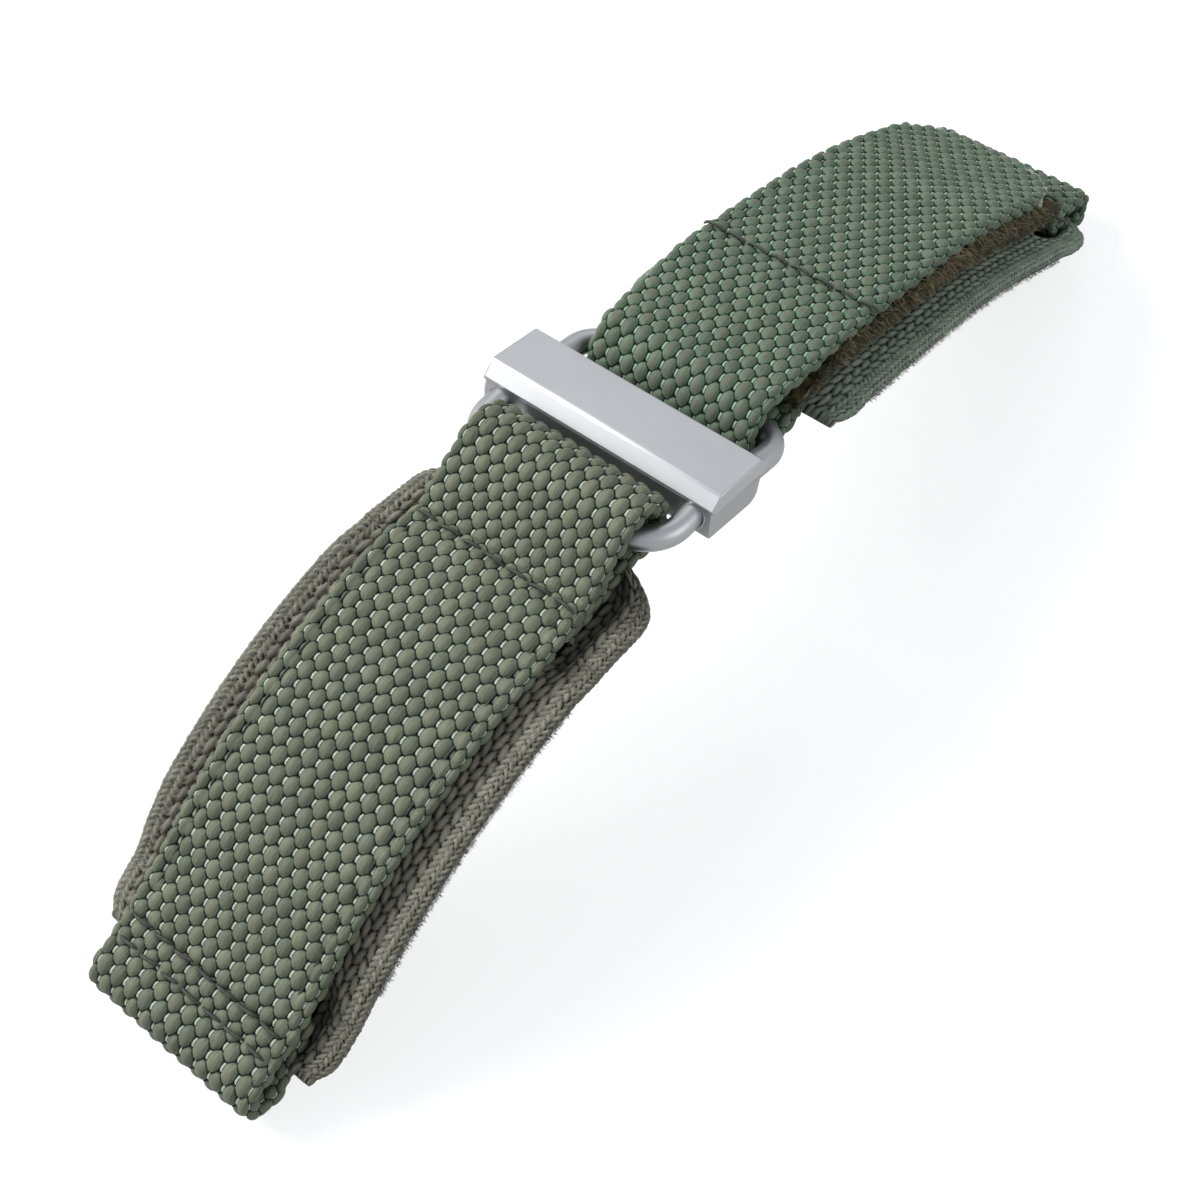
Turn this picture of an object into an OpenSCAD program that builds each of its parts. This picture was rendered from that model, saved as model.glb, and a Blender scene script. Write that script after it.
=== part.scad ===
// Hook and loop watch strap with a two-bail buckle.
// +X runs along the strap towards the half with the flap, +Z is up and the strap stands on its lug ends.
// The origin is the middle of the whole strap, on the surface that it stands on.

/* [Webbing] */
// Width of the strap webbing
webbing_w = 22; // [18:0.5:26]
// Thickness of the strap webbing
webbing_t = 2.2; // [1.8:0.1:2.4]
// Hole left at each strap end for a spring bar
lug_bore_d = 2.0; // [1.6:0.1:2.6]
// Length of webbing turned back under the strap at each end
lug_return_l = 7; // [5:0.5:9]
// Outer radius of the webbing where it goes round the far bail
fold_r = 4.1; // [3.9:0.05:4.5]
// Distance that the webbing draws in at each edge where it goes round a bail
fold_waist = 0.7; // [0.6:0.05:1]

/* [Near half] */
// Outer radius of the puffy fold round the near bail
near_fold_r = 4.7; // [4.2:0.1:4.8]
// Distance from the near rod to the stitching that closes the fold
near_fold_run = 8.25; // [8:0.25:9]
// Angle at which the near half leaves the buckle, below level
near_heading = 12; // [8:1:16]
// Depth of the top layer's underside below the near rod at the stitching
near_stitch_drop = 2.5; // [2.2:0.1:2.8]
// Length of the near half's long bend
near_bend_l = 38; // [30:0.5:42]
// Angle of the near half's long bend
near_bend_turn = 37.5; // [28:0.5:40]
// Length of the near half's end, which bends back up
near_end_l = 14.5; // [10:0.5:16]
// Angle of the near half's end bend
near_end_turn = 14; // [8:0.5:18]

/* [Far half] */
// Distance from the far rod to the point where flap and strap meet
far_join_run = 12.1; // [11:0.25:14]
// Height of the pile's top face above the far rod where flap and strap meet
far_join_rise = 3.7; // [2.6:0.1:4]
// Length of the far half's first, shallow bend
far_bend_l = 18; // [14:0.5:22]
// Angle of the far half's first bend
far_bend_turn = 1.5; // [1:0.5:8]
// Length of the far half's second bend
far_drop_l = 18.5; // [14:0.5:22]
// Angle of the far half's second bend
far_drop_turn = 12.5; // [6:0.5:14]
// Length of the far half's end, which bends back up
far_end_l = 22; // [20:0.5:26]
// Angle of the far half's end bend
far_end_turn = 6; // [2:0.5:10]
// Thickness of the loop pile
pile_t = 0.8; // [0.6:0.05:1]

/* [Flap] */
// Length of the flap past the point where flap and strap meet
flap_l = 51; // [40:0.5:51]
// Length of the flap's round tip
tip_l = 8; // [4:0.5:11]
// Distance from that point to the stitching across the flap
flap_stitch_s = 4.5; // [3:0.25:8]
// Thickness of the hook patch under the flap
hook_t = 0.8; // [0.6:0.05:1]
// Play between the hooks and the pile
closure_gap = 0.1; // [0.1:0.05:0.2]
// Angle that the webbing goes round the far rod before it rises
wrap_turn = 120; // [112:1:124]
// Straight rise of the webbing from the far rod to its crest
wrap_rise = 1.6; // [1.2:0.1:2]
// Radius of the webbing's middle at its crest
crest_r = 1.8; // [1.6:0.1:2.2]
// Angle of the crest's bend
crest_turn = 55; // [50:1:60]

/* [Base pads] */
// Distance that the knitted base pads stand out past each edge of the webbing
pad_margin = 3.75; // [2.5:0.25:5]
// Thickness of the base pads
pad_t = 2; // [1.4:0.1:2.4]
// Corner radius of the base pads
pad_corner_r = 3.5; // [2:0.5:7]
// Distance from the near rod to the near pad's inner end, along the strap
near_pad_start = 0.25; // [0:0.25:2]
// Distance from the far rod to the far pad's inner end, along the strap
far_pad_start = 7.5; // [6.5:0.25:9]

/* [Buckle] */
// Metal left outside the bail legs at each end of the block
block_margin = 0.1; // [0.1:0.05:2]
// Width of the buckle block along the strap
block_l = 8; // [7:0.25:10]
// Thickness of the block's cap
cap_t = 1.5; // [1.2:0.1:1.8]
// Thickness of the block's body under the cap
body_t = 3.3; // [3.1:0.1:4]
// Distance that the cap stands out over the body's long faces
cap_overhang = 0.5; // [0.2:0.1:0.8]
// Radius along the cap's long upper edges
cap_edge_r = 0.6; // [0.3:0.1:0.9]
// Diameter of the bail wire
wire_d = 2.4; // [2:0.1:2.6]
// Clear space between each edge of the webbing and a bail's leg
bail_play = 0.5; // [0.4:0.05:1]
// Corner radius of a bail, at the middle of the wire
bail_corner_r = 4; // [3:0.25:5]
// Length of the near bail outside the block, to the middle of its rod
near_reach = 6.0; // [5.8:0.1:9]
// Length of the far bail outside the block, to the middle of its rod
far_reach = 6.4; // [6.2:0.1:9]
// Slope of the near bail, down from the block's underside
near_pitch = 10; // [0:1:14]
// Depth that the bail legs go into the block
socket_depth = 3; // [2:0.25:3]
// Play between a bail leg and its socket
socket_gap = 0.03; // [0.01:0.01:0.05]

/* [Thread] */
// Diameter of the sewing thread
thread_d = 0.5; // [0.3:0.05:0.7]
// Length of one stitch
stitch_l = 2.2; // [1.6:0.1:2.6]
// Distance from one stitch to the next
stitch_pitch = 2.8; // [2.7:0.1:3.6]
// Distance from the webbing's edge to the seam along it
seam_inset = 1.9; // [1.5:0.1:2.5]
// Distance from the spring bar's centre to the first row of stitching
lug_row_gap = 3; // [2.6:0.1:4]
// Distance between the two rows of stitching at a lug end
lug_row_pitch = 2.5; // [2:0.1:3.4]

/* [Hidden] */
$fn = 48;

body_far_r = 1.4;
body_near_r = 0.3;
play = 0.02;
skin_inset = 0.4;
pile_end_gap = 1.5;
pad_ramp = 5;
pad_end_gap = 3.4;
pad_ramp_gap = 1.3;
strip_step = 1.2;
socket_floor_t = 0.35;
hinge_gap = 0.7;
near_return_past = 2.5;
fold_row_gap = 1;
row_inset = 1;
seam_rest_gap = 1.5;
waist_taper = 9;
trim_reach = 60;
wire_r = wire_d / 2;
pad_w = webbing_w + 2 * pad_margin;
bail_inner_w = webbing_w + 2 * bail_play;
block_w = bail_inner_w + 2 * (wire_d + block_margin);
lug_bore_r = lug_bore_d / 2;
lug_r = lug_bore_r + webbing_t;
fold_mid_r = fold_r - webbing_t / 2;
rod_depth = cap_t + body_t - wire_r - socket_floor_t;
hinge_cut_r = webbing_t / 2 + hinge_gap;
seam_lead = seam_rest_gap + fold_row_gap;
row_w = webbing_w - 2 * row_inset;
webbing_color = [0.36, 0.40, 0.34];
pad_color = [0.33, 0.32, 0.29];
pile_color = [0.30, 0.25, 0.17];
steel_color = [0.72, 0.72, 0.75];
thread_color = [0.42, 0.44, 0.36];

// A place on a side profile is [x, z, heading], with the heading in degrees above level.
// A path is [first place, [[length, turn], ...]], and a positive turn bends it upwards.

function dir(a) = [cos(a), sin(a)];
function spot(p) = [p[0], p[1]];
// The point at height d above a place, square to its heading
function above(p, d) = spot(p) + d * dir(p[2] + 90);
// The place at the end of one arc or straight run
function arc_end(p, l, turn) =
    let (a = p[2], b = a + turn, r = abs(turn) < 0.01 ? 0 : l / (turn * PI / 180))
    let (q = r == 0 ? spot(p) + l * dir(a) : spot(p) + r * [sin(b) - sin(a), cos(a) - cos(b)])
    [q[0], q[1], b];
// The place at distance s along a path
function along(path, s, i = 0) =
    let (p = path[0], seg = path[1][i])
    (i == len(path[1]) - 1 || s <= seg[0])
        ? arc_end(p, s, seg[1] * s / seg[0])
        : along([arc_end(p, seg[0], seg[1]), path[1]], s - seg[0], i + 1);
function run_of(path, count) = count == 0 ? 0 : path[1][count - 1][0] + run_of(path, count - 1);
function path_length(path) = run_of(path, len(path[1]));
// Rises smoothly from 0 to 1 while x goes from 0 to 1
function ease(x) = (1 - cos(180 * max(0, min(1, x)))) / 2;
// The outline of a layer from distance s0 to s1 along a path, between the heights d0 and d1
function layer(path, s0, s1, d0, d1) =
    let (n = ceil((s1 - s0) / strip_step))
    let (places = [for (i = [0:n]) along(path, s0 + (s1 - s0) * i / n)])
    concat([for (p = places) above(p, d1)], [for (i = [n:-1:0]) above(places[i], d0)]);
// The outline of a pad under a path, whose top dips under the layers turned back at its two ends
function pad_layer(path, s0, s1, d, dip0, end0, dip1, start1) =
    let (n = ceil((s1 - s0) / strip_step))
    let (places = [for (i = [0:n]) let (s = s0 + (s1 - s0) * i / n)
        [along(path, s), d - dip0 * (1 - ease((s - end0) / pad_ramp)) - dip1 * ease((s - start1) / pad_ramp + 1)]])
    concat([for (q = places) above(q[0], q[1])], [for (i = [n:-1:0]) above(places[i][0], places[i][1] - pad_t)]);
// The point where a line from p touches a circle, above the circle for side 1 and below it for side -1
function tangent(centre, r, p, side) =
    let (v = p - centre, a = atan2(v[1], v[0]), b = acos(r / norm(v)))
    centre + r * dir(a + side * b);
// Two equal arcs that rise by the given height over the given run, and end level with their start
function s_bend(run, rise) =
    let (turn = 2 * atan2(rise, run))
    abs(turn) < 0.01
        ? [[run / 2, 0], [run / 2, 0]]
        : let (l = run / 2 / sin(abs(turn)) * abs(turn) * PI / 180) [[l, turn], [l, -turn]];

// Side profile of the near half, drawn as if it left the block towards +X and mirrored afterwards
near_rod = [block_l / 2 + near_reach * cos(near_pitch), -rod_depth - near_reach * sin(near_pitch)];
// The path follows the underside of the webbing's top layer, from the near rod to the lug end
near_path = [
    concat(near_rod - near_stitch_drop * dir(90 - near_heading), [-near_heading]),
    [[near_fold_run, 0], [near_bend_l, -near_bend_turn], [near_end_l, near_end_turn]]
];
near_l = path_length(near_path);
near_lug = above(along(near_path, near_l), webbing_t - lug_r);
near_return_t = near_fold_r - near_stitch_drop;
near_return_end = near_fold_run + near_return_past;

// Side profile of the far half
far_rod = [block_l / 2 + far_reach, -rod_depth];
far_join = far_rod + [far_join_run, far_join_rise];
far_mid_drop = pile_t + webbing_t / 2;
far_sink = far_join_rise - far_mid_drop + fold_mid_r;
far_ramp = s_bend(far_join_run, far_sink);
far_ramp_l = 2 * far_ramp[0][0];
far_bends = [[far_bend_l, -far_bend_turn], [far_drop_l, -far_drop_turn], [far_end_l, far_end_turn]];
// The path of the strap's webbing follows its middle, from under the far rod to the lug end
far_path = [concat(far_rod - [0, fold_mid_r], [0]), concat(far_ramp, far_bends)];
far_l = path_length(far_path);
far_lug = above(along(far_path, far_l), webbing_t / 2 - lug_r);
// The path of the closure follows the top face of the loop pile
closure_path = [concat(far_join, [0]), far_bends];
wrap_path = [
    concat(far_rod - [0, fold_mid_r], [180]),
    [
        [fold_mid_r * wrap_turn * PI / 180, -wrap_turn],
        [wrap_rise, 0],
        [crest_r * crest_turn * PI / 180, -crest_turn]
    ]
];
wrap_l = path_length(wrap_path);
flap_hinge = spot(along(wrap_path, wrap_l));
flap_base = closure_gap + hook_t;
flap_join = above(closure_path[0], flap_base + webbing_t / 2);
flap_root = flap_join - flap_hinge;
flap_tip_x = spot(along(closure_path, flap_l))[0];
flap_start = concat(flap_hinge, [atan2(flap_root[1], flap_root[0])]);

// The whole strap is levelled on its two lug ends and centred over the origin
lug_span = [far_lug[0] + near_lug[0], far_lug[1] - near_lug[1]];
tilt = atan2(lug_span[1], lug_span[0]);
function levelled(p) = [p[0] * cos(tilt) + p[1] * sin(tilt), -p[0] * sin(tilt) + p[1] * cos(tilt)];
near_foot = levelled([-near_lug[0], near_lug[1]]);
far_foot = levelled(far_lug);
lift = [-(near_foot[0] + far_foot[0]) / 2, lug_r - near_foot[1]];

module stand() {
    translate([lift[0], 0, lift[1]]) rotate([0, tilt, 0]) children();
}

module near_side() {
    stand() mirror([1, 0, 0]) children();
}

// Stands a side profile up and gives it its width
module across(w) {
    rotate([90, 0, 0]) linear_extrude(height = w, center = true) children();
}

module strip(path, s0, s1, d0, d1, w) {
    across(w) polygon(layer(path, s0, s1, d0, d1));
}

module rod_at(p, r, w) {
    translate([p[0], 0, p[1]]) rotate([90, 0, 0]) cylinder(r = r, h = w, center = true);
}

// A rectangle with round corners, seen from above
module plan(x0, x1, w, r) {
    for (y = [-1, 1]) {
        for (x = [x0 + r, x1 - r]) {
            translate([x, y * (w / 2 - r)]) circle(r = r);
        }
    }
    translate([x0, -w / 2 + r]) square([x1 - x0, w - 2 * r]);
    translate([x0 + r, -w / 2]) square([x1 - x0 - 2 * r, w]);
}

// The plan of the flap: straight sides and a full, round tip that ends at x1
function tongue(x0, x1, w) =
    let (tip = [for (a = [-90:7.5:90])
        [x1 - tip_l + tip_l * pow(cos(a), 0.8), w / 2 * sign(a) * pow(abs(sin(a)), 0.8)]])
    concat([[x0, w / 2], [x0, -w / 2]], tip);

// Keeps what lies inside the flap's plan
module trimmed_tongue(x1, w) {
    intersection() {
        children();
        linear_extrude(height = 2 * trim_reach, center = true) polygon(tongue(0, x1, w));
    }
}

// Keeps what lies inside a rounded plan
module trimmed_plan(x0, x1, w, r) {
    intersection() {
        children();
        linear_extrude(height = 2 * trim_reach, center = true) plan(x0, x1, w, r);
    }
}

// Draws the webbing in from both edges where it goes round the rod at x
module waisted(x, x1) {
    slope = fold_waist / waist_taper;
    narrow = webbing_w / 2 - fold_waist;
    start = x + fold_r;
    side = [[x - 3 * fold_r, narrow], [start, narrow], [x1, narrow + slope * (x1 - start)]];
    intersection() {
        children();
        linear_extrude(height = 2 * trim_reach, center = true) polygon(concat(
            side, [for (i = [2:-1:0]) [side[i][0], -side[i][1]]]
        ));
    }
}

// One stitch lies on the face, lengthwise along the seam
module stitch_across(p, y) {
    translate([p[0], y, p[1]]) rotate([90, 0, 0]) cylinder(d = thread_d, h = stitch_l, center = true, $fn = 16);
}

module stitch_along(p, y) {
    translate([p[0], y, p[1]]) rotate([0, 90 - p[2], 0])
        cylinder(d = thread_d, h = stitch_l, center = true, $fn = 16);
}

// A row of stitches across the webbing at distance s, on the face at height d
module cross_row(path, s, d, w) {
    count = floor((w - stitch_l) / stitch_pitch) + 1;
    p = above(along(path, s), d + thread_d / 2 + play);
    for (i = [0:count - 1]) {
        stitch_across(p, (i - (count - 1) / 2) * stitch_pitch);
    }
}

// A seam along the webbing from distance s0 to s1, on the face at height d
module long_seam(path, s0, s1, d, y) {
    count = floor((s1 - s0 - stitch_l) / stitch_pitch) + 1;
    for (i = [0:count - 1]) {
        place = along(path, s0 + stitch_l / 2 + i * stitch_pitch);
        stitch_along(concat(above(place, d + thread_d / 2 + 0.05), [place[2]]), y);
    }
}

module cap_profile() {
    half = block_l / 2;
    r = cap_edge_r;
    polygon(concat(
        [[-half, -cap_t], [half, -cap_t]],
        [for (a = [0:15:90]) [half - r, -r] + r * dir(a)],
        [for (a = [90:15:180]) [-half + r, -r] + r * dir(a)]
    ));
}

module body_profile() {
    half = block_l / 2 - cap_overhang;
    low = -cap_t - body_t;
    polygon(concat(
        [[half, -cap_t], [-half, -cap_t]],
        [for (a = [180:30:270]) [-half + body_near_r, low + body_near_r] + body_near_r * dir(a)],
        [for (a = [270:15:360]) [half - body_far_r, low + body_far_r] + body_far_r * dir(a)]
    ));
}

// A bail in its own frame: legs along +X from the block's face, the rod across at x = reach
module bail(reach) {
    leg_y = bail_inner_w / 2 + wire_r;
    straight = reach - bail_corner_r;
    for (side = [-1, 1]) {
        translate([-socket_depth, side * leg_y, 0]) rotate([0, 90, 0])
            cylinder(r = wire_r, h = socket_depth + straight);
        translate([straight, side * (leg_y - bail_corner_r), 0]) rotate([0, 0, side > 0 ? 0 : -90])
            rotate_extrude(angle = 90) translate([bail_corner_r, 0]) circle(r = wire_r);
    }
    translate([reach, 0, 0]) rotate([90, 0, 0])
        cylinder(r = wire_r, h = 2 * (leg_y - bail_corner_r), center = true);
}

module bail_sockets() {
    for (side = [-1, 1]) {
        translate([-socket_depth, side * (bail_inner_w / 2 + wire_r), 0]) rotate([0, 90, 0])
            cylinder(r = wire_r + socket_gap, h = socket_depth + 2);
    }
}

// The frames of the two bails: their origins lie in the block's faces, on the legs' axes
module near_bail_frame() {
    mirror([1, 0, 0]) translate([block_l / 2, 0, -rod_depth]) rotate([0, near_pitch, 0]) children();
}

module far_bail_frame() {
    translate([block_l / 2, 0, -rod_depth]) children();
}

module buckle_cap() {
    color(steel_color) stand() across(block_w) cap_profile();
}

module buckle_body() {
    color(steel_color) stand() difference() {
        across(block_w) body_profile();
        near_bail_frame() bail_sockets();
        far_bail_frame() bail_sockets();
    }
}

module near_bail() {
    color(steel_color) stand() near_bail_frame() bail(near_reach);
}

module far_bail() {
    color(steel_color) stand() far_bail_frame() bail(far_reach);
}

module near_webbing() {
    stitch = along(near_path, near_fold_run);
    stitch_top = above(stitch, webbing_t);
    stitch_low = above(stitch, -near_return_t);
    color(webbing_color) near_side() waisted(near_rod[0], near_lug[0] + 2 * lug_r) difference() {
        union() {
            rod_at(near_rod, near_fold_r, webbing_w);
            across(webbing_w) polygon([
                tangent(near_rod, near_fold_r, stitch_top, 1),
                stitch_top,
                stitch_low,
                tangent(near_rod, near_fold_r, stitch_low, -1),
                near_rod
            ]);
            strip(near_path, near_fold_run, near_return_end, -near_return_t, webbing_t, webbing_w);
            strip(near_path, near_fold_run, near_l, 0, webbing_t, webbing_w);
            strip(near_path, near_l - lug_return_l, near_l, -webbing_t, play, webbing_w);
            rod_at(near_lug, lug_r, webbing_w);
        }
        rod_at(near_rod, fold_r - webbing_t, webbing_w + 2);
        rod_at(near_lug, lug_bore_r, webbing_w + 2);
    }
}

module far_webbing() {
    color(webbing_color) stand() waisted(far_rod[0], far_lug[0] + 2 * lug_r) difference() {
        union() {
            strip(wrap_path, 0, wrap_l, -webbing_t / 2, webbing_t / 2, webbing_w);
            strip(far_path, 0, far_l, -webbing_t / 2, webbing_t / 2, webbing_w);
            strip(far_path, far_l - lug_return_l, far_l, -1.5 * webbing_t, -webbing_t / 2 + play, webbing_w);
            rod_at(far_lug, lug_r, webbing_w);
        }
        rod_at(flap_hinge, hinge_cut_r, webbing_w + 2);
        rod_at(far_lug, lug_bore_r, webbing_w + 2);
    }
}

module far_loop_pile() {
    color(pile_color) stand()
        strip(
            far_path, far_ramp_l / 2, far_l - pile_end_gap,
            webbing_t / 2 + play, webbing_t / 2 + pile_t, webbing_w - 2 * skin_inset
        );
}

module flap_webbing() {
    color(webbing_color) stand() waisted(far_rod[0], far_lug[0]) trimmed_tongue(flap_tip_x, webbing_w) union() {
        rod_at(flap_hinge, webbing_t / 2 - 0.05, webbing_w);
        across(webbing_w) polygon(concat(
            [above(flap_start, webbing_t / 2)],
            layer(closure_path, 0, flap_l, flap_base, flap_base + webbing_t),
            [above(flap_start, -webbing_t / 2)]
        ));
    }
}

module flap_hook_patch() {
    color(pile_color) stand() trimmed_tongue(flap_tip_x - skin_inset, webbing_w - 2 * skin_inset)
        strip(closure_path, flap_stitch_s, flap_l, closure_gap, flap_base - play, webbing_w);
}

// Gives a pad its outline, width and round corners
module pad(outline) {
    x0 = min([for (q = outline) q[0]]);
    x1 = max([for (q = outline) q[0]]);
    trimmed_plan(x0, x1, pad_w, pad_corner_r) across(pad_w) polygon(outline);
}

module near_base_pad() {
    color(pad_color) near_side() pad(pad_layer(
        near_path, near_pad_start, near_l - pad_end_gap, -play,
        near_return_t, near_return_end + pad_ramp_gap, webbing_t, near_l - lug_return_l - pad_ramp_gap
    ));
}

module far_base_pad() {
    color(pad_color) stand() pad(pad_layer(
        far_path, far_pad_start, far_l - pad_end_gap, -webbing_t / 2 - play,
        0, 0, webbing_t, far_l - lug_return_l - pad_ramp_gap
    ));
}

module near_fold_stitching() {
    color(thread_color) near_side() cross_row(near_path, near_fold_run + fold_row_gap, webbing_t, row_w);
}

module near_lug_outer_stitching() {
    color(thread_color) near_side() cross_row(near_path, near_l - lug_row_gap, webbing_t, row_w);
}

module near_lug_inner_stitching() {
    color(thread_color) near_side()
        cross_row(near_path, near_l - lug_row_gap - lug_row_pitch, webbing_t, row_w);
}

module near_seam(side) {
    first = near_fold_run + seam_lead;
    last = near_l - lug_row_gap - lug_row_pitch - fold_row_gap;
    color(thread_color) near_side()
        long_seam(near_path, first, last, webbing_t, side * (webbing_w / 2 - seam_inset));
}

module near_left_seam() {
    near_seam(1);
}

module near_right_seam() {
    near_seam(-1);
}

module far_lug_outer_stitching() {
    color(thread_color) stand()
        cross_row(far_path, far_l - lug_row_gap, webbing_t / 2 + pile_t, row_w);
}

module far_lug_inner_stitching() {
    color(thread_color) stand()
        cross_row(far_path, far_l - lug_row_gap - lug_row_pitch, webbing_t / 2 + pile_t, row_w);
}

module flap_cross_stitching() {
    color(thread_color) stand() cross_row(closure_path, flap_stitch_s, flap_base + webbing_t, webbing_w);
}

module flap_seam(side) {
    color(thread_color) stand()
        long_seam(
            closure_path, flap_stitch_s + seam_rest_gap, flap_l - tip_l, flap_base + webbing_t,
            side * (webbing_w / 2 - seam_inset)
        );
}

module flap_left_seam() {
    flap_seam(1);
}

module flap_right_seam() {
    flap_seam(-1);
}

buckle_cap();
buckle_body();
near_bail();
far_bail();
near_webbing();
near_base_pad();
near_fold_stitching();
near_lug_outer_stitching();
near_lug_inner_stitching();
near_left_seam();
near_right_seam();
far_webbing();
far_loop_pile();
far_base_pad();
far_lug_outer_stitching();
far_lug_inner_stitching();
flap_webbing();
flap_hook_patch();
flap_cross_stitching();
flap_left_seam();
flap_right_seam();
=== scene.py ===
import math
from collections import namedtuple
from functools import partial

import bmesh
import bpy
import numpy as np
from mathutils import Euler, Matrix, Vector


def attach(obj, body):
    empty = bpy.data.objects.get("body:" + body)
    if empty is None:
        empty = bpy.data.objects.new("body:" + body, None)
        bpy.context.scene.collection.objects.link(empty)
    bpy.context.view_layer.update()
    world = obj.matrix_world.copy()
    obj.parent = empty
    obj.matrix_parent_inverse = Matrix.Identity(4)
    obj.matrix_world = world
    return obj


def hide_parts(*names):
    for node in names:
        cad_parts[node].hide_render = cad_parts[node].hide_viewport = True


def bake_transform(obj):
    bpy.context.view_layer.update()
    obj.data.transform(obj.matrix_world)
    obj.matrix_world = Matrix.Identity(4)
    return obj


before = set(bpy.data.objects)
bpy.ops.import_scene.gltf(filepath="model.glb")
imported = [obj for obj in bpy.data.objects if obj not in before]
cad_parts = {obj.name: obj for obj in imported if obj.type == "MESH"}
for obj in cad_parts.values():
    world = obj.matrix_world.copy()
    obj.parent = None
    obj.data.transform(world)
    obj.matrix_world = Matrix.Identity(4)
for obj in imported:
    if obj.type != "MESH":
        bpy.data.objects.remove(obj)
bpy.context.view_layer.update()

# Lengths are in millimetres and angles in degrees, in the block's frame: x runs to the far end of the strap,
# z is up, and 0 is the middle of the block's top. The near half is drawn with x to its own end, and mirrored.
MM = 0.001

# Buckle block, and how far its near side stands out and its middle is off the strap's
BLOCK_L = 8.0
BLOCK_HALF_W = 14.2
CAP_FLOOR = -1.95
BODY_FLOOR = -5.2
NEAR_OUT = 0.4
BLOCK_ASIDE = 0.2

# Wire loops: reach of the rod, side offset of the legs, and corner radius
ROD_DEPTH = 3.25
WIRE_R = 1.28
NEAR_PITCH = 10.0
NEAR_REACH = 6.0
NEAR_LEG_Y = 11.9
NEAR_CORNER = 4.0
FAR_REACH = 6.4
FAR_LEG_Y = 12.1
FAR_CORNER = 3.2
RIM_R = 1.42
RIM_T = 0.14

# Webbing, and its folds round the rods, where its edges draw in
WEB_W = 22.0
WEB_T = 2.2
WEBBING = (WEB_W, WEB_T, 1.05)
SEAM_Y = WEB_W / 2 - 1.9
ROW_W = WEB_W - 2
NEAR_HEADING = -12
NEAR_FOLD_DROP = 2.5
NEAR_FOLD_RUN = 8.25
NEAR_FOLD_MID_R = 3.65
NEAR_FOLD_SHIFT = 0.3
NEAR_RETURN_T = 2.2
NEAR_RETURN_L = 2.5
NEAR_WAIST = 0.55
NEAR_LOW_WAIST = 1.5
FAR_FOLD_MID_R = 3.0
FAR_WAIST = 0.5
WAIST_START = 4.1
WAIST_TAPER = 9.0

# Spring bar tunnels at both ends
LUG_R = 3.2
LUG_MID_R = 2.1
LUG_FREE = 4.3
LUG_RETURN = 7.0
LUG_ROWS = (3.0, 5.5)

# Pads under the webbing
PAD_W = 29.5
PAD_T = 2.0
PAD = (PAD_W, PAD_T, 0.95)
NEAR_PAD_START = 0.25
FAR_PAD_START = 7.5
PAD_SHORT = 3.4
DIP_RUN = 5.0

# Flap and its closure: loop pile on the strap, and hook patch under the flap
FLAP_L = 51.0
TIP_L = 8.0
TIP_CUT = 1.2
TIP_SEALED = 0.5
FLAP_END = FLAP_L - TIP_CUT
FLAP_BASE = 0.9
FLAP_STITCH = 4.5
JOIN = (12.1, 3.7)
PILE_T = 0.8
HOOK_T = 0.75
HOOK_MID = 0.5
SKIN_W = WEB_W - 0.8
SKIN_EDGE_R = 0.35

# Honeycomb weave
ROW_PITCH = 1.5235
CELL_PITCH = 1.87
CELL_HALF = (0.83, 1.08)
CELL_POWER = 2.3
CELL_DEPTH = 0.78

# Sewing
STITCH_PITCH = 2.8
STITCH_L = 2.55

# Steps of the strips' meshes, along them and then across their tops and undersides, the smoothing of their
# profiles, the rings of their round ends, and the share of the hairs that is drawn
STEP = 0.18
NEAR_STEPS = (0.17, 0.35)
FLAP_STEPS = (0.17, 0.3)
FAR_STEPS = (0.2, 0.3)
PAD_STEPS = (0.16, 0.22)
FINE_STEP = 0.05
BLUR = 0.35
CAP_RINGS = 4
HAIR_SHARE = 1


# Paths, each a first place (x, z, heading) and its runs (length, turn)


def heading(degrees):
    a = math.radians(degrees)
    return np.array([math.cos(a), math.sin(a)])


def arc_end(place, length, turn):
    """The place at the end of a run that turns by the given angle."""
    x, z, a = place
    if abs(turn) < 0.01:
        end = np.array([x, z]) + length * heading(a)
        return (end[0], end[1], a)
    r = length / math.radians(turn)
    b = a + turn
    return (
        x + r * (math.sin(math.radians(b)) - math.sin(math.radians(a))),
        z + r * (math.cos(math.radians(a)) - math.cos(math.radians(b))),
        b,
    )


def along(path, s):
    """The place at distance s along a path."""
    place, runs = path
    for length, turn in runs[:-1]:
        if s <= length:
            return arc_end(place, s, turn * s / length)
        place = arc_end(place, length, turn)
        s -= length
    length, turn = runs[-1]
    return arc_end(place, s, turn * s / length)


def above(place, d):
    return np.array(place[:2]) + d * heading(place[2] + 90)


def over(path, s, d):
    """The place at height d over a path."""
    place = along(path, s)
    return (*above(place, d), place[2])


def ease(x):
    """Rises smoothly from 0 to 1 while x does."""
    return (1 - np.cos(np.pi * np.clip(x, 0, 1))) / 2


def run_length(path):
    return sum(length for length, turn in path[1])


def bend(radius, turn):
    return (radius * abs(math.radians(turn)), turn)


def s_bend(run, rise):
    """Two equal arcs that rise by the given height over the given run."""
    turn = 2 * math.atan2(rise, run)
    length = run / 2 / math.sin(turn) * turn
    return [(length, math.degrees(turn)), (length, -math.degrees(turn))]


NEAR_ROD = np.array([BLOCK_L / 2, -ROD_DEPTH]) + NEAR_REACH * heading(-NEAR_PITCH)
FAR_ROD = np.array([BLOCK_L / 2 + FAR_REACH, -ROD_DEPTH])

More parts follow.
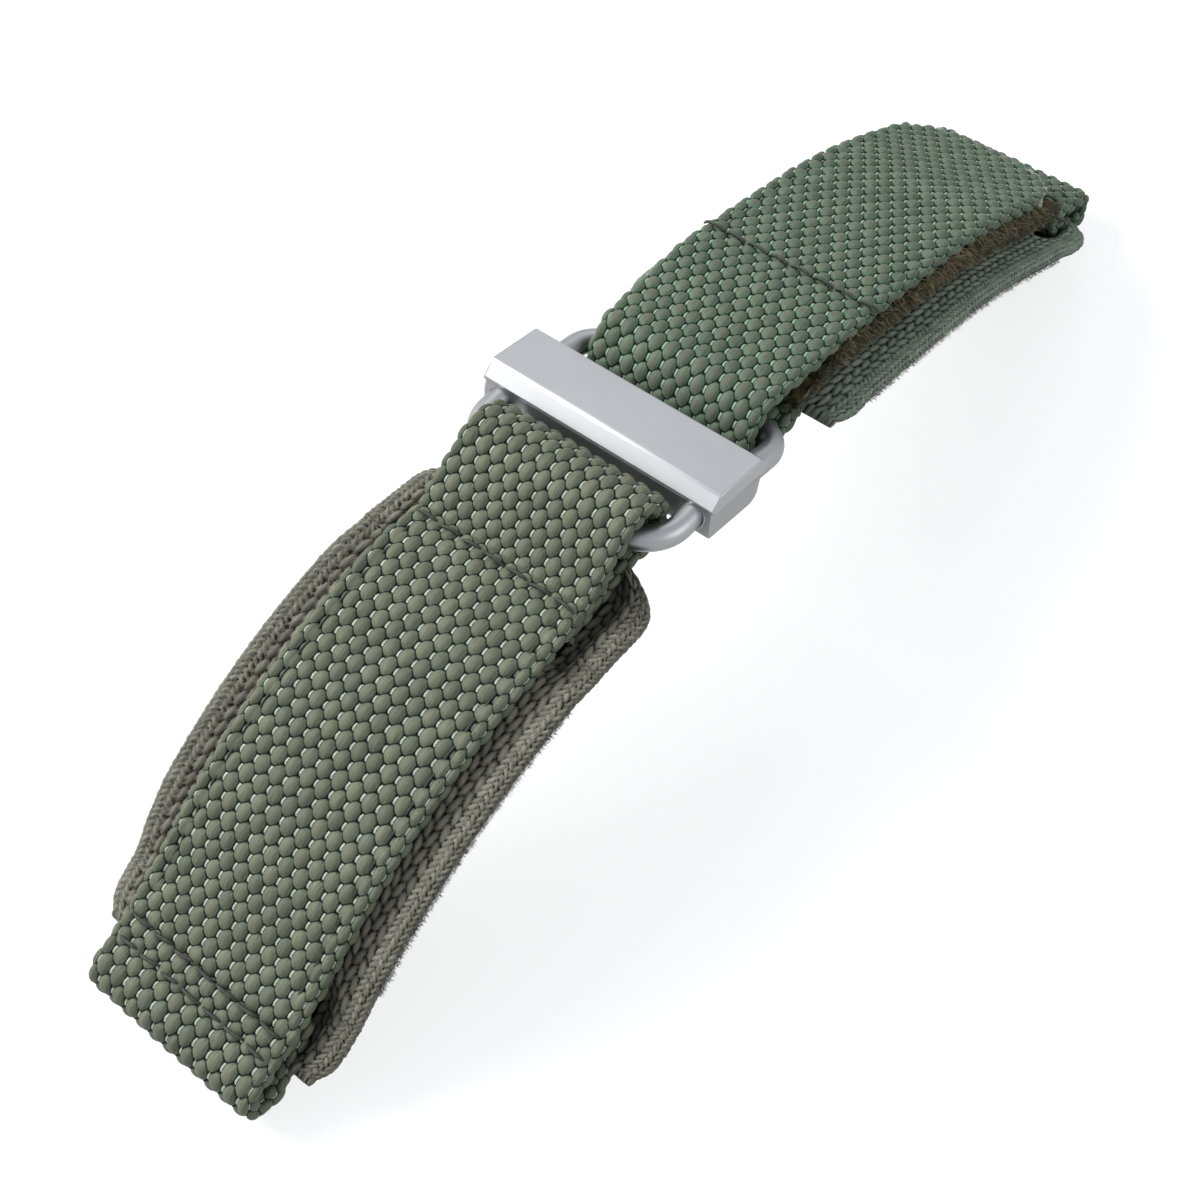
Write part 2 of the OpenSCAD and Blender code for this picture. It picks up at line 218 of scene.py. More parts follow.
# The near path runs between webbing and pad, and the far path along the middle of the webbing
NEAR_START = NEAR_ROD - NEAR_FOLD_DROP * heading(NEAR_HEADING + 90)
NEAR_PATH = ((*NEAR_START, NEAR_HEADING), [(NEAR_FOLD_RUN, 0), (38, -37.5), (14.5, 14)])
NEAR_L = run_length(NEAR_PATH)
FAR_RAMP = s_bend(JOIN[0], JOIN[1] - PILE_T - WEB_T / 2 + FAR_FOLD_MID_R)
FAR_BENDS = [(18, -1.5), (18.5, -12.5), (22, 6)]
FAR_PATH = ((FAR_ROD[0], FAR_ROD[1] - FAR_FOLD_MID_R, 0), FAR_RAMP + FAR_BENDS)
FAR_L = run_length(FAR_PATH)
RAMP = FAR_RAMP[0][0]
PILE_END = 2 * RAMP + FLAP_END + 0.6
TAPE = (RAMP * 0.7, PILE_END - 0.5)

# The flap's webbing goes round the far rod, and then over the closure
WRAP_PATH = (
    (FAR_ROD[0], FAR_ROD[1] - FAR_FOLD_MID_R, 180),
    [bend(FAR_FOLD_MID_R, -120), (1.6, 0), bend(1.8, -55)],
)
WRAP_L = run_length(WRAP_PATH)
CLOSURE_PATH = ((FAR_ROD[0] + JOIN[0], FAR_ROD[1] + JOIN[1], 0), FAR_BENDS)

# The strap stands level on its two tunnels
NEAR_LUG = above(along(NEAR_PATH, NEAR_L), WEB_T - LUG_R)
FAR_LUG = above(along(FAR_PATH, FAR_L), WEB_T / 2 - LUG_R)
TILT = math.atan2(FAR_LUG[1] - NEAR_LUG[1], FAR_LUG[0] + NEAR_LUG[0])


def levelled(x, z):
    c, s = math.cos(TILT), math.sin(TILT)
    return x * c + z * s, -x * s + z * c


NEAR_FOOT, FAR_FOOT = levelled(-NEAR_LUG[0], NEAR_LUG[1]), levelled(*FAR_LUG)
LIFT = (-(NEAR_FOOT[0] + FAR_FOOT[0]) / 2, LUG_R - NEAR_FOOT[1])


def to_frame(x, y, z, mirror=False):
    """Points of the block's frame, in the shared frame and in metres."""
    row_x, row_z = levelled(-x if mirror else x, z)
    return np.stack([row_x + LIFT[0], y + 0 * row_x, row_z + LIFT[1]], -1) * MM


# Noise that is the same in each run


def hashed(a, b, seed=0):
    v = np.sin(a * 127.1 + b * 311.7 + seed * 74.7) * 43758.5453
    return v - np.floor(v)


def smooth_noise(x, y, seed=0):
    xi, yi = np.floor(x), np.floor(y)
    fx, fy = x - xi, y - yi
    fx, fy = fx * fx * (3 - 2 * fx), fy * fy * (3 - 2 * fy)
    low = hashed(xi, yi, seed) * (1 - fx) + hashed(xi + 1, yi, seed) * fx
    high = hashed(xi, yi + 1, seed) * (1 - fx) + hashed(xi + 1, yi + 1, seed) * fx
    return low * (1 - fy) + high * fy


# Meshes


def quads_of(rings, loop):
    """Faces between rings of points, each ring with loop points."""
    i = np.arange(rings - 1)[:, None] * loop
    j = np.arange(loop)[None, :]
    k = (j + 1) % loop
    return np.stack([i + j, i + k, i + loop + k, i + loop + j], -1).reshape(-1, 4)


def signed_volume(co, quads):
    a, b, c, d = (co[quads[:, i]] for i in range(4))
    return np.einsum("ij,ij->i", a, np.cross(b, c) + np.cross(c, d)).sum()


def new_mesh(name, co, quads, tris=None, smooth=True):
    me = bpy.data.meshes.new(name)
    tris = np.zeros((0, 3), int) if tris is None else np.asarray(tris)
    me.vertices.add(len(co))
    me.vertices.foreach_set("co", np.asarray(co, np.float32).ravel())
    loops = np.concatenate([quads.ravel(), tris.ravel()]).astype(np.int32)
    me.loops.add(len(loops))
    me.loops.foreach_set("vertex_index", loops)
    totals = np.r_[np.full(len(quads), 4), np.full(len(tris), 3)]
    starts = np.r_[0, np.cumsum(totals)[:-1]]
    me.polygons.add(len(totals))
    me.polygons.foreach_set("loop_start", starts.astype(np.int32))
    me.polygons.foreach_set("use_smooth", np.broadcast_to(smooth, len(totals)).copy())
    me.update(calc_edges=True)
    me.validate()
    ob = bpy.data.objects.new(name, me)
    bpy.context.scene.collection.objects.link(ob)
    return ob


def swept(paths, radii, sides, twist=0.0):
    """Tubes along paths of one length (count, points, 3) in metres, with a radius at each point."""
    paths = np.asarray(paths)
    count, points, _ = paths.shape
    t = np.gradient(paths, axis=1)
    t /= np.linalg.norm(t, axis=2)[..., None] + 1e-12
    up = np.where(np.abs(t[:, :1, 2:3]) > 0.9, np.array([1.0, 0, 0]), np.array([0, 0, 1.0]))
    a = np.cross(t, np.repeat(up, points, 1))
    a /= np.linalg.norm(a, axis=2)[..., None] + 1e-12
    b = np.cross(t, a)
    angle = 2 * math.pi * np.arange(sides) / sides
    ply = np.ones((points, sides))
    if twist:
        ply = 0.82 + 0.3 * np.abs(np.cos(angle[None, :] - twist * np.linspace(0, 1, points)[:, None]))
    ring = np.cos(angle)[:, None] * a[:, :, None] + np.sin(angle)[:, None] * b[:, :, None]
    co = paths[:, :, None] + ring * (np.asarray(radii)[:, None] * ply)[None, ..., None]
    ends = []
    for start, order in ((0, -1), ((points - 1) * sides, 1)):
        ends += [(start, start + i, start + i + 1)[::order] for i in range(1, sides - 1)]
    firsts = (np.arange(count) * points * sides)[:, None, None]
    quads = (quads_of(points, sides)[None] + firsts).reshape(-1, 4)
    tris = (np.array(ends)[None] + firsts).reshape(-1, 3)
    return co.reshape(-1, 3), quads[:, ::-1], tris[:, ::-1]


# Strips: a side profile with a rounded cross-section and a relief

Skin = namedtuple("Skin", "p s label u side_out up_out perimeter")


def distances(points):
    return np.r_[0, np.cumsum(np.linalg.norm(np.diff(points, axis=0), axis=1))]


def resampled(s, rows, at):
    return np.stack([np.interp(at, s, rows[:, i]) for i in range(rows.shape[1])], 1)


def profile(rows, step):
    """Evens out rows of (x, z, width, thickness, label), and gives their distances, values and tangents."""
    rows = np.array(rows, float)
    rows = rows[np.r_[True, np.linalg.norm(np.diff(rows[:, :2], axis=0), axis=1) > 1e-6]]
    s = distances(rows[:, :2])
    even = resampled(s, rows, np.arange(0, s[-1], FINE_STEP))
    n = int(BLUR * 3 / FINE_STEP)
    kernel = np.exp(-0.5 * (np.arange(-n, n + 1) * FINE_STEP / BLUR) ** 2)
    kernel /= kernel.sum()
    head = 2 * even[0] - even[n:0:-1]
    tail = 2 * even[-1] - even[-2 : -n - 2 : -1]
    padded = np.concatenate([head, even, tail])
    even = np.stack([np.convolve(padded[:, i], kernel, "valid") for i in range(padded.shape[1])], 1)
    s = distances(even[:, :2])
    out = np.linspace(0, s[-1], int(round(s[-1] / step)) + 1)
    even = resampled(s, even, out)
    tangent = np.gradient(even[:, :2], out, axis=0)
    tangent /= np.linalg.norm(tangent, axis=1)[:, None]
    return out, even, tangent


def section(width, thick, radius, top_step, low_step):
    """A rounded cross-section: side offset, height, outward normal, and distance from the top's middle."""
    flat, high = width / 2 - radius, thick / 2
    side = max(thick - 2 * radius, 0)
    quarter = math.pi / 2 * radius
    n_top, n_low = int(2 * flat / top_step), int(2 * flat / low_step)
    n_arc = max(int(quarter / top_step), 3)
    rows = [(u, high, 0, 1, u) for u in -flat + 2 * flat * np.arange(n_top) / n_top]
    p = flat
    for sign, starts in ((1, (90, 0)), (-1, (270, 180))):
        for start in starts:
            middle = (high - radius) * (1 if start in (90, 180) else -1)
            for i in range(n_arc):
                y, z = heading(start - 90 * i / n_arc)
                rows.append((sign * flat + radius * y, middle + radius * z, y, z, p + quarter * i / n_arc))
            p += quarter + (side if start in (90, 270) else 0)
        if sign == 1:
            rows += [(flat - run, -high, 0, -1, p + run) for run in 2 * flat * np.arange(n_low) / n_low]
            p += 2 * flat
    return np.array(rows), p + flat


def round_tip(s, u, width, tip):
    """Distances along a strip whose last part is cut round, and where each of its threads ends."""
    lateral = np.clip(np.abs(u) / (width / 2), 0, 1)
    cut = s[-1] - tip + tip * (1 - lateral**2.5) ** 0.5
    first = s[-1] - 2.5 * tip
    share = np.clip((s - first) / (s[-1] - first), 0, 1)[:, None]
    return np.minimum(s, first)[:, None] + share * (cut[None, :] - first), cut[None, :]


def end_faces(ring, start, loop, middle, order):
    """Faces from a strip's last ring over the rings of its round end, which begin at start, and across it."""
    points = np.r_[ring, start + np.arange(CAP_RINGS * loop)]
    last = start + (CAP_RINGS - 1) * loop
    pairs = [((middle + i) % loop, (middle - i) % loop) for i in range(loop // 2 + 1)]
    across = [(a, b, c, d) for (a, d), (b, c) in zip(pairs, pairs[1:]) if a != d and b != c]
    return np.concatenate([points[quads_of(CAP_RINGS + 1, loop)], last + np.array(across)])[:, ::order]


def tube(name, rows, step, size, steps, relief, mirror=False, way=1, tip=None, end_round=0.35, raised=None):
    """A closed soft strip along a side profile. size is its width, thickness and edge radius.

    relief gives how far each point of the skin sinks and its coat, and raised how far it is lifted."""
    s, row, tangent = profile(rows, step)
    full_width, full_thick, radius = size
    sec, perimeter = section(full_width, full_thick, radius, *steps)
    u, high, side_out, up_out, p = (np.repeat(sec[None, :, i], len(s), 0) for i in range(5))
    grid_s = np.repeat(s[:, None], len(sec), 1)
    if tip is not None:
        grid_s, cut = round_tip(s, sec[:, 0], full_width, tip)
    index = np.interp(grid_s, s, np.arange(len(s)))

    def take(values):
        return np.interp(index, np.arange(len(s)), values)

    x, z, width, thick, label = (take(row[:, i]) for i in range(5))
    nx, nz = take(-tangent[:, 1]), take(tangent[:, 0])
    length = np.sqrt(nx * nx + nz * nz)
    nx, nz = nx / length, nz / length
    skin = Skin(p, way * grid_s, label, u, side_out, up_out, perimeter)
    sink, coat = relief(skin)
    if tip is not None:
        coat[..., 1] = ease((grid_s - cut + TIP_SEALED) / 0.3)
    lift = np.zeros_like(label) if raised is None else raised(skin)
    d = high * thick / full_thick - up_out * sink + lift
    y = u * width / full_width - side_out * sink
    thread = np.stack([p, skin.s, label], -1)
    rings, loop = label.shape
    all_co = [to_frame(x + nx * d, y, z + nz * d, mirror).reshape(-1, 3)]
    all_coat, all_thread = [coat.reshape(-1, 4)], [thread.reshape(-1, 3)]
    all_quads = [quads_of(rings, loop)]
    middle = int((up_out[0] > 0.999).sum()) // 2
    total = rings * loop
    for end, sign in ((0, -1), (rings - 1, 1)):
        for a in np.radians(90 * np.arange(1, CAP_RINGS + 1) / CAP_RINGS):
            keep = max(math.cos(a), 0.04)
            out = sign * end_round * math.sin(a)
            dd = lift[end] + (d[end] - lift[end]) * keep
            xx = x[end] + nx[end] * dd + nz[end] * out
            yy = y[end] - np.sign(u[end]) * (1 - keep) * 0.3
            zz = z[end] + nz[end] * dd - nx[end] * out
            all_co.append(to_frame(xx, yy, zz, mirror))
            all_coat.append(coat[end] * (0.95, 1, 1, 1))
            all_thread.append(thread[end])
        all_quads.append(end_faces(end * loop + np.arange(loop), total, loop, middle, sign))
        total += CAP_RINGS * loop
    co, quads = np.concatenate(all_co), np.concatenate(all_quads)
    if signed_volume(co, quads) < 0:
        quads = quads[:, ::-1]
    ob = new_mesh(name, co, quads)
    coats = ob.data.color_attributes.new(name="coat", type="FLOAT_COLOR", domain="POINT")
    coats.data.foreach_set("color", np.concatenate(all_coat).astype(np.float32).ravel())
    threads = ob.data.attributes.new("thread", "FLOAT_VECTOR", "POINT")
    threads.data.foreach_set("vector", np.concatenate(all_thread).astype(np.float32).ravel())
    return ob


# Reliefs. Each gives how far the skin sinks, and its coat


def coat_of(height, tone):
    """Point colours for the materials: height, which the knit and tape materials paint as shade low down and
    as highlight on top, share of a sealed edge, and a random number for each cell.
    """
    return np.stack([np.clip(height, 0, 1), np.zeros_like(height), tone, np.ones_like(height)], -1)


def stacked(layers, shape, floor):
    """Layers of (height, tone) over a floor: the best height, the next best, and the best one's tone."""
    best, second, tone = np.full(shape, floor), np.full(shape, floor), np.zeros(shape)
    for h, t in layers:
        tone = np.where(h > best, t, tone)
        second = np.maximum(second, np.minimum(best, h))
        best = np.maximum(best, h)
    return best, second, tone


def cell_heights(p, s, pitch, count, seed):
    """The staggered cells of the webbing: height from 0 to 1, and a random number for each cell."""

    def cell_row(row):
        shift = np.mod(row, 2) * pitch / 2
        column = np.round((p - shift) / pitch)
        cell = np.mod(column, count)
        du, ds = p - shift - column * pitch, s - row * ROW_PITCH
        e = np.abs(du / CELL_HALF[0]) ** CELL_POWER + np.abs(ds / CELL_HALF[1]) ** CELL_POWER
        crown = 0.92 + 0.1 * hashed(cell, row, seed)
        return np.sqrt(np.maximum(1 - e, 0)) * crown - np.maximum(e - 1, 0), hashed(cell, row, seed + 3)

    base = np.round(s / ROW_PITCH)
    best, second, tone = stacked(map(cell_row, (base - 1, base, base + 1)), p.shape, -1.0)
    weft = 0.5 * np.sqrt(np.maximum(1 - ((s - base * ROW_PITCH) / 0.6) ** 2, 0))
    crease = 0.2 * (1 - ease((best - second) / 0.25)) * (second > -0.5)
    return np.maximum(best, weft) - crease, tone


Groove = namedtuple("Groove", "at half deep side", defaults=(None,))


def seam_grooves(middle, half, deep):
    return [Groove(middle, half, deep, side) for side in (-1, 1)]


def groove_depth(skin, groove):
    """A groove across the strap under a row of stitches, or along one of its sides under a seam."""
    off = skin.label - groove.at
    if groove.side is None:
        return groove.deep * np.exp(-((off / groove.half) ** 2))
    lengthwise = ease(1 - (np.abs(off) - groove.half) / 0.7)
    return groove.deep * (lengthwise * np.exp(-(((skin.u - groove.side * SEAM_Y) / 0.45) ** 2)))


def woven(skin, seed, grooves=()):
    """The webbing: honeycomb cells, uneven edges, and grooves in its top."""
    p, s = skin.p, skin.s
    count = int(round(skin.perimeter / CELL_PITCH))
    h, tone = cell_heights(p, s, skin.perimeter / count, count, seed)
    h = h + 0.05 * (smooth_noise(p * 0.35, s * 0.3, seed + 5) - 0.5)
    sink = CELL_DEPTH * (1 - h)
    for groove in grooves:
        sink = sink + groove_depth(skin, groove) * (skin.up_out > 0.2)
    sink = sink + 0.08 * (smooth_noise(p * 1.1, s * 0.9, seed + 8) - 0.5) * np.abs(skin.side_out)
    return sink, coat_of(h, tone)


Column = namedtuple("Column", "at half_v half_s spacing slant scale")


def knit_columns():
    """Columns of stitches on a pad's margins: four chains, a plait of four, and two round the edge."""
    columns = []
    for side in (-1, 1):
        for i, at in enumerate((9.9, 10.75, 11.6, 12.4)):
            columns.append(Column(side * at, 0.46, 1.2, 1.75, side * 0.16 * (-1) ** i, 0.88))
        for i, at in enumerate((13.15, 13.85, 14.6, 15.3)):
            columns.append(Column(side * at, 0.27, 0.78, 0.68, side * 0.72 * (-1) ** i, 1.0))
        columns.append(Column(side * 16.05, 0.42, 0.8, 1.15, side * 0.3, 0.85))
        columns.append(Column(side * 16.8, 0.42, 0.8, 1.15, -side * 0.3, 0.8))
    return columns


def ovals(dv, s, column, phase, seed):
    """A column of overlapping oval stitches: best height, next best height and a random number each."""
    c, w = heading(math.degrees(column.slant))

    def stitch(k):
        ds = s - phase - k * column.spacing
        a, b = dv * c + ds * w, -dv * w + ds * c
        e = (a / column.half_v) ** 2 + (b / column.half_s) ** 2
        return np.sqrt(np.maximum(1 - e, 0)) * (0.88 + 0.2 * hashed(k, seed, 1)), hashed(k, seed, 2)

    base = np.round((s - phase) / column.spacing)
    best, second, tone = stacked(map(stitch, (base - 1, base, base + 1)), s.shape, 0.0)
    return best * column.scale, second * column.scale, tone


def knitted(skin, depth, seed):
    """A pad: columns of stitches along its margins, and plain ones underneath."""
    p, s, perimeter = skin.p, skin.s, skin.perimeter
    best, second, tone = np.zeros(p.shape), np.zeros(p.shape), np.full(p.shape, 0.5)
    wave = s + 0.5 * smooth_noise(p * 0.6, s * 0.25, seed)
    low = [Column(perimeter / 2 + 0.86 * i, 0.47, 1.2, 1.9, 0.1 * (-1) ** i, 0.6) for i in range(-16, 17)]
    for n, column in enumerate(knit_columns() + low):
        aside = np.mod(p - column.at + perimeter / 2, perimeter) - perimeter / 2
        near = np.abs(aside) < 0.9
        if near.any():
            phase = column.spacing * ((n * 0.37) % 1)
            h, next_h, t = ovals(aside[near], wave[near], column, phase, seed + n)
            old = best[near]
            tone[near] = np.where(h > old, t, tone[near])
            second[near] = np.maximum(second[near], np.maximum(np.minimum(old, h), next_h))
            best[near] = np.maximum(old, h)
    # The crease also lowers the coat height, which the knit material paints as shade.
    crease = 0.35 * (1 - ease((best - second) / 0.25)) * (best > 0.05)
    h = best - crease
    return depth * (1 - h), coat_of(h, tone)


def lumpy(skin, depth, scale, seed):
    """A fuzzy base cloth."""
    p, s = skin.p, skin.s
    coarse = smooth_noise(p * scale, s * scale, seed)
    fine = smooth_noise(p * scale * 2.3, s * scale * 2.3, seed + 1)
    h = 0.5 * coarse + 0.5 * fine
    return depth * (1 - h), coat_of(h, smooth_noise(p * 0.8, s * 0.8, seed + 2))


def taped(skin):
    """The far strap: weave at the lug and the fold, and rough tape between them."""
    share = ease((skin.label - TAPE[0]) / 1.5) * (1 - ease((skin.label - TAPE[1]) / 1.2))
    weave_sink, weave_coat = woven(skin, 11)
    tape_sink, tape_coat = lumpy(skin, 0.7, 1.3, 31)
    sink = weave_sink * (1 - share) + tape_sink * share
    share = share[..., None]
    return sink, weave_coat * (1 - share) + tape_coat * share


# Materials


class Graph:
    """The nodes of a material or of the world."""

    def __init__(self, tree):
        self.nodes, self.links = tree.nodes, tree.links

    def set(self, node, inputs):
        """Gives a node's inputs their values, or links them where the value is another node's output."""
        for key, value in inputs.items():
            if isinstance(value, bpy.types.NodeSocket):
                self.links.new(value, node.inputs[key])
            else:
                node.inputs[key].default_value = value

    def add(self, kind, inputs, **settings):
        node = self.nodes.new("ShaderNode" + kind)
        for key, value in settings.items():
            setattr(node, key, value)
        self.set(node, inputs)
        return node

    def attribute(self, name, output):
        return self.add("Attribute", {}, attribute_name=name).outputs[output]

    def calc(self, operation, a, b=None, c=None, clamp=False):
        inputs = {i: value for i, value in enumerate((a, b, c)) if value is not None}
        return self.add("Math", inputs, operation=operation, use_clamp=clamp).outputs[0]

    def mix(self, share, a, b, blend="MIX"):
        inputs = {0: share, 6: a, 7: b}
        return self.add("Mix", inputs, data_type="RGBA", blend_type=blend).outputs[2]

    def ramp(self, value, *stops):
        """A colour for each value. stops are (value, colour)."""
        node = self.add("ValToRGB", {0: value})
        elements = node.color_ramp.elements
        while len(elements) < len(stops):
            elements.new(0.5)
        for element, (at, color) in zip(elements, stops):
            element.position = at
            element.color = (*color, 1)
        return node.outputs[0]

    def tint(self, color, value, *stops):
        return self.mix(1.0, color, self.ramp(value, *stops), "MULTIPLY")

    def noise(self, vector, scale, detail, roughness):
        inputs = {"Vector": vector, "Scale": scale, "Detail": detail, "Roughness": roughness}
        return self.add("TexNoise", inputs).outputs[0]

    def thread_noise(self, thread, frequencies, detail, roughness):
        """Noise along a strip's threads, with its frequency round the strip and along it."""
        mapping = self.add("Mapping", {0: thread, "Scale": (*frequencies, 0)})
        return self.noise(mapping.outputs[0], 1.0, detail, roughness)

    def bump(self, bsdf, height, distance, strength):
        node = self.add("Bump", {"Strength": strength, "Distance": distance, "Height": height})
        self.links.new(node.outputs[0], bsdf.inputs["Normal"])

    def background_rays(self):
        """1 for the rays that show the white background: camera, glossy and transmission rays."""
        kinds = self.add("LightPath", {}).outputs
        rays = self.calc("MAXIMUM", kinds["Is Camera Ray"], kinds["Is Glossy Ray"])
        return self.calc("MAXIMUM", rays, kinds["Is Transmission Ray"])


def new_material(name):
    m = bpy.data.materials.new(name)
    m.use_nodes = True
    m.node_tree.nodes.clear()
    g = Graph(m.node_tree)
    bsdf = g.add("BsdfPrincipled", {})
    g.add("OutputMaterial", {0: bsdf.outputs[0]})
    return m, g, bsdf


def grey(level):
    return (level,) * 3


SEALED_EDGE = (0.27, 0.31, 0.26, 1)
WEBBING_LOOP = section(*WEBBING, *NEAR_STEPS)[1]
WEAVE_PITCH = WEBBING_LOOP / round(WEBBING_LOOP / CELL_PITCH)


def weave_pattern(g, thread):
    """The webbing's cells, for its colours: height from 0 to 1, depth beside a crease, which the material
    paints as shade, and the weft bars, which are a painted highlight on one side of each gap.
    """
    do = g.calc
    axes = g.add("SeparateXYZ", {0: thread}).outputs
    across = do("DIVIDE", axes[0], WEAVE_PITCH)
    down = do("DIVIDE", axes[1], ROW_PITCH)
    row = do("ROUND", down)
    off_row = do("SUBTRACT", down, row)
    cells, off_columns = [], []
    for k in (row, do("ADD", row, do("SIGN", off_row))):
        shift = do("MULTIPLY", do("FLOORED_MODULO", k, 2.0), 0.5)
        shifted = do("SUBTRACT", across, shift)
        off_column = do("SUBTRACT", shifted, do("ROUND", shifted))
        du = do("ABSOLUTE", do("MULTIPLY", off_column, WEAVE_PITCH / CELL_HALF[0]))
        ds = do("ABSOLUTE", do("MULTIPLY", do("SUBTRACT", down, k), ROW_PITCH / CELL_HALF[1]))
        e = do("ADD", do("POWER", du, CELL_POWER), do("POWER", ds, CELL_POWER))
        cells.append(do("SQRT", do("SUBTRACT", 1.0, e, clamp=True)))
        off_columns.append(off_column)
    height = do("MAXIMUM", cells[0], cells[1])
    crease = do("SUBTRACT", height, do("MINIMUM", cells[0], cells[1]))
    # The weft bar is a painted highlight, set on the side of each gap where the light falls.
    gap = do("WRAP", do("SUBTRACT", off_columns[0], 0.5), 0.5, -0.5)
    bar = do("MULTIPLY", do("COMPARE", gap, -0.03, 0.08), do("COMPARE", off_row, 0.0, 0.25))
    weft = do("MULTIPLY", bar, do("LESS_THAN", cells[0], 0.2))
    return height, crease, weft


def webbing_material(name, crown, side, dark, weft, tape=None):
    """Honeycomb webbing. tape gives the distances between which rough tape shows in place of the weave."""
    m, g, bsdf = new_material(name)
    thread = g.attribute("thread", "Vector")
    coat = g.add("SeparateColor", {0: g.attribute("coat", "Color")}).outputs
    height, crease, weft_glint_share = weave_pattern(g, thread)
    # Painted shade: the near-black dark colour fills the low parts between the cells.
    color = g.ramp(height, (0.0, dark), (0.4, dark), (0.62, side), (0.78, side), (1.0, crown))
    color = g.tint(color, coat[2], (0.0, (0.82, 0.84, 0.84)), (0.5, grey(1)), (1.0, (1.12, 1.1, 1.06)))
    strands = g.thread_noise(thread, (9, 0.55), 3.0, 0.6)
    color = g.tint(color, strands, (0.3, grey(0.7)), (0.7, (1.24, 1.24, 1.22)))
    patches = g.thread_noise(thread, (0.22, 0.16), 2.0, 0.5)
    color = g.tint(color, patches, (0.3, (0.9, 0.9, 0.88)), (0.7, (1.08, 1.09, 1.1)))
    # Painted shade: near black along the creases where two cells meet.
    color = g.tint(color, crease, (0.06, grey(0.04)), (0.5, grey(1)))
    # Painted highlight: the weft bars take the lightened weft colour as a glint.
    color = g.mix(weft_glint_share, color, (*weft, 1))
    color = g.mix(coat[1], color, SEALED_EDGE)
    if tape:
        label = g.add("SeparateXYZ", {0: thread}).outputs[2]
        begun = g.calc("MULTIPLY_ADD", label, 0.6, -0.6 * tape[0], clamp=True)
        left = g.calc("MULTIPLY_ADD", label, -0.8, 0.8 * tape[1] + 1, clamp=True)
        share = g.calc("MULTIPLY", begun, left)
        # The tape's deep colour, near black in its hollows, is painted shade.
        deep, mid, high = (0.009, 0.010, 0.006), (0.05, 0.056, 0.036), (0.17, 0.185, 0.125)
        color = g.mix(share, color, g.ramp(coat[0], (0.2, deep), (0.5, mid), (0.9, high)))
    g.set(bsdf, {"Base Color": color, "Specular IOR Level": 0.16})
    g.set(bsdf, {"Roughness": g.calc("MULTIPLY_ADD", weft_glint_share, -0.15, 0.55)})
    g.bump(bsdf, strands, 0.05 * MM, 0.8)
    return m


def knit_material(name, light, mid, dark):
    """Knitted or fuzzy fabric, coloured by the height of its stitches: the dark colour in the hollows is
    painted shade and the light colour on the tops is painted highlight.
    """
    m, g, bsdf = new_material(name)
    coat = g.add("SeparateColor", {0: g.attribute("coat", "Color")}).outputs
    color = g.ramp(coat[0], (0.0, dark), (0.3, dark), (0.65, mid), (1.0, light))
    color = g.tint(color, coat[2], (0.0, grey(0.82)), (1.0, (1.12, 1.12, 1.1)))
    strands = g.thread_noise(g.attribute("thread", "Vector"), (7, 2.2), 4.0, 0.65)
    color = g.tint(color, strands, (0.3, grey(0.7)), (0.7, (1.25, 1.25, 1.22)))
    g.set(bsdf, {"Base Color": color, "Roughness": 0.88, "Specular IOR Level": 0.2})
    g.bump(bsdf, strands, 0.07 * MM, 0.8)
    return m


def varied(g, value, color, spread):
    """A colour that goes a share darker and lighter with a value."""
    low = tuple(c * (1 - spread) for c in color)
    high = tuple(min(c * (1 + spread), 1) for c in color)
    return g.ramp(value, (0.3, low), (0.7, high))


def fibre_material(name, color, spread, scale, roughness, sheen, distance):
    """Hairs and sewing thread."""
    m, g, bsdf = new_material(name)
    fuzz = g.noise(g.add("TexCoord", {}).outputs["Object"], scale, 4.0, 0.65)
    g.set(bsdf, {"Base Color": varied(g, fuzz, color, spread), "Roughness": roughness, "Sheen Weight": sheen})
    g.bump(bsdf, fuzz, distance * MM, 0.7)
    return m


def steel_material(name, color):
    """Blasted steel: cloudy, with a fine grit."""
    m, g, bsdf = new_material(name)
    coords = g.add("TexCoord", {}).outputs["Object"]
    grit = g.noise(coords, 9000.0, 3.0, 0.7)
    cloud = g.noise(coords, 220.0, 3.0, 0.5)
    rough = g.calc("MULTIPLY_ADD", cloud, 0.12, 0.36)
    g.set(bsdf, {"Base Color": varied(g, cloud, color, 0.03), "Metallic": 1.0, "Roughness": rough})
    g.bump(bsdf, grit, 0.012 * MM, 0.5)
    return m


# Webbing colours: crown, side, dark and weft. dark, near black in the hollows, is painted shade; weft is the
# weft yarn lightened as a painted highlight.
NEAR_YARN_SHADE_GLINT = ((0.142, 0.147, 0.108), (0.128, 0.152, 0.107), (0.003, 0.004, 0.003), (0.40, 0.46, 0.39))
FAR_YARN_SHADE_GLINT = ((0.122, 0.132, 0.104), (0.107, 0.160, 0.110), (0.003, 0.006, 0.004), (0.28, 0.40, 0.31))
near_webbing_look = webbing_material("near_webbing_yarn", *NEAR_YARN_SHADE_GLINT)
far_webbing_look = webbing_material("far_webbing_yarn", *FAR_YARN_SHADE_GLINT)
strap_look = webbing_material("strap_tape_yarn", *FAR_YARN_SHADE_GLINT, TAPE)
# Pad colours (light, mid, dark): dark is painted shade in the hollows and light is painted highlight on the
# stitch tops.
NEAR_KNIT = ((0.265, 0.258, 0.217), (0.162, 0.157, 0.13), (0.02, 0.019, 0.016))
FAR_KNIT = ((0.295, 0.35, 0.29), (0.19, 0.225, 0.185), (0.025, 0.032, 0.026))
near_pad_look = knit_material("near_pad_knit", *NEAR_KNIT)
far_pad_look = knit_material("far_pad_knit", *FAR_KNIT)
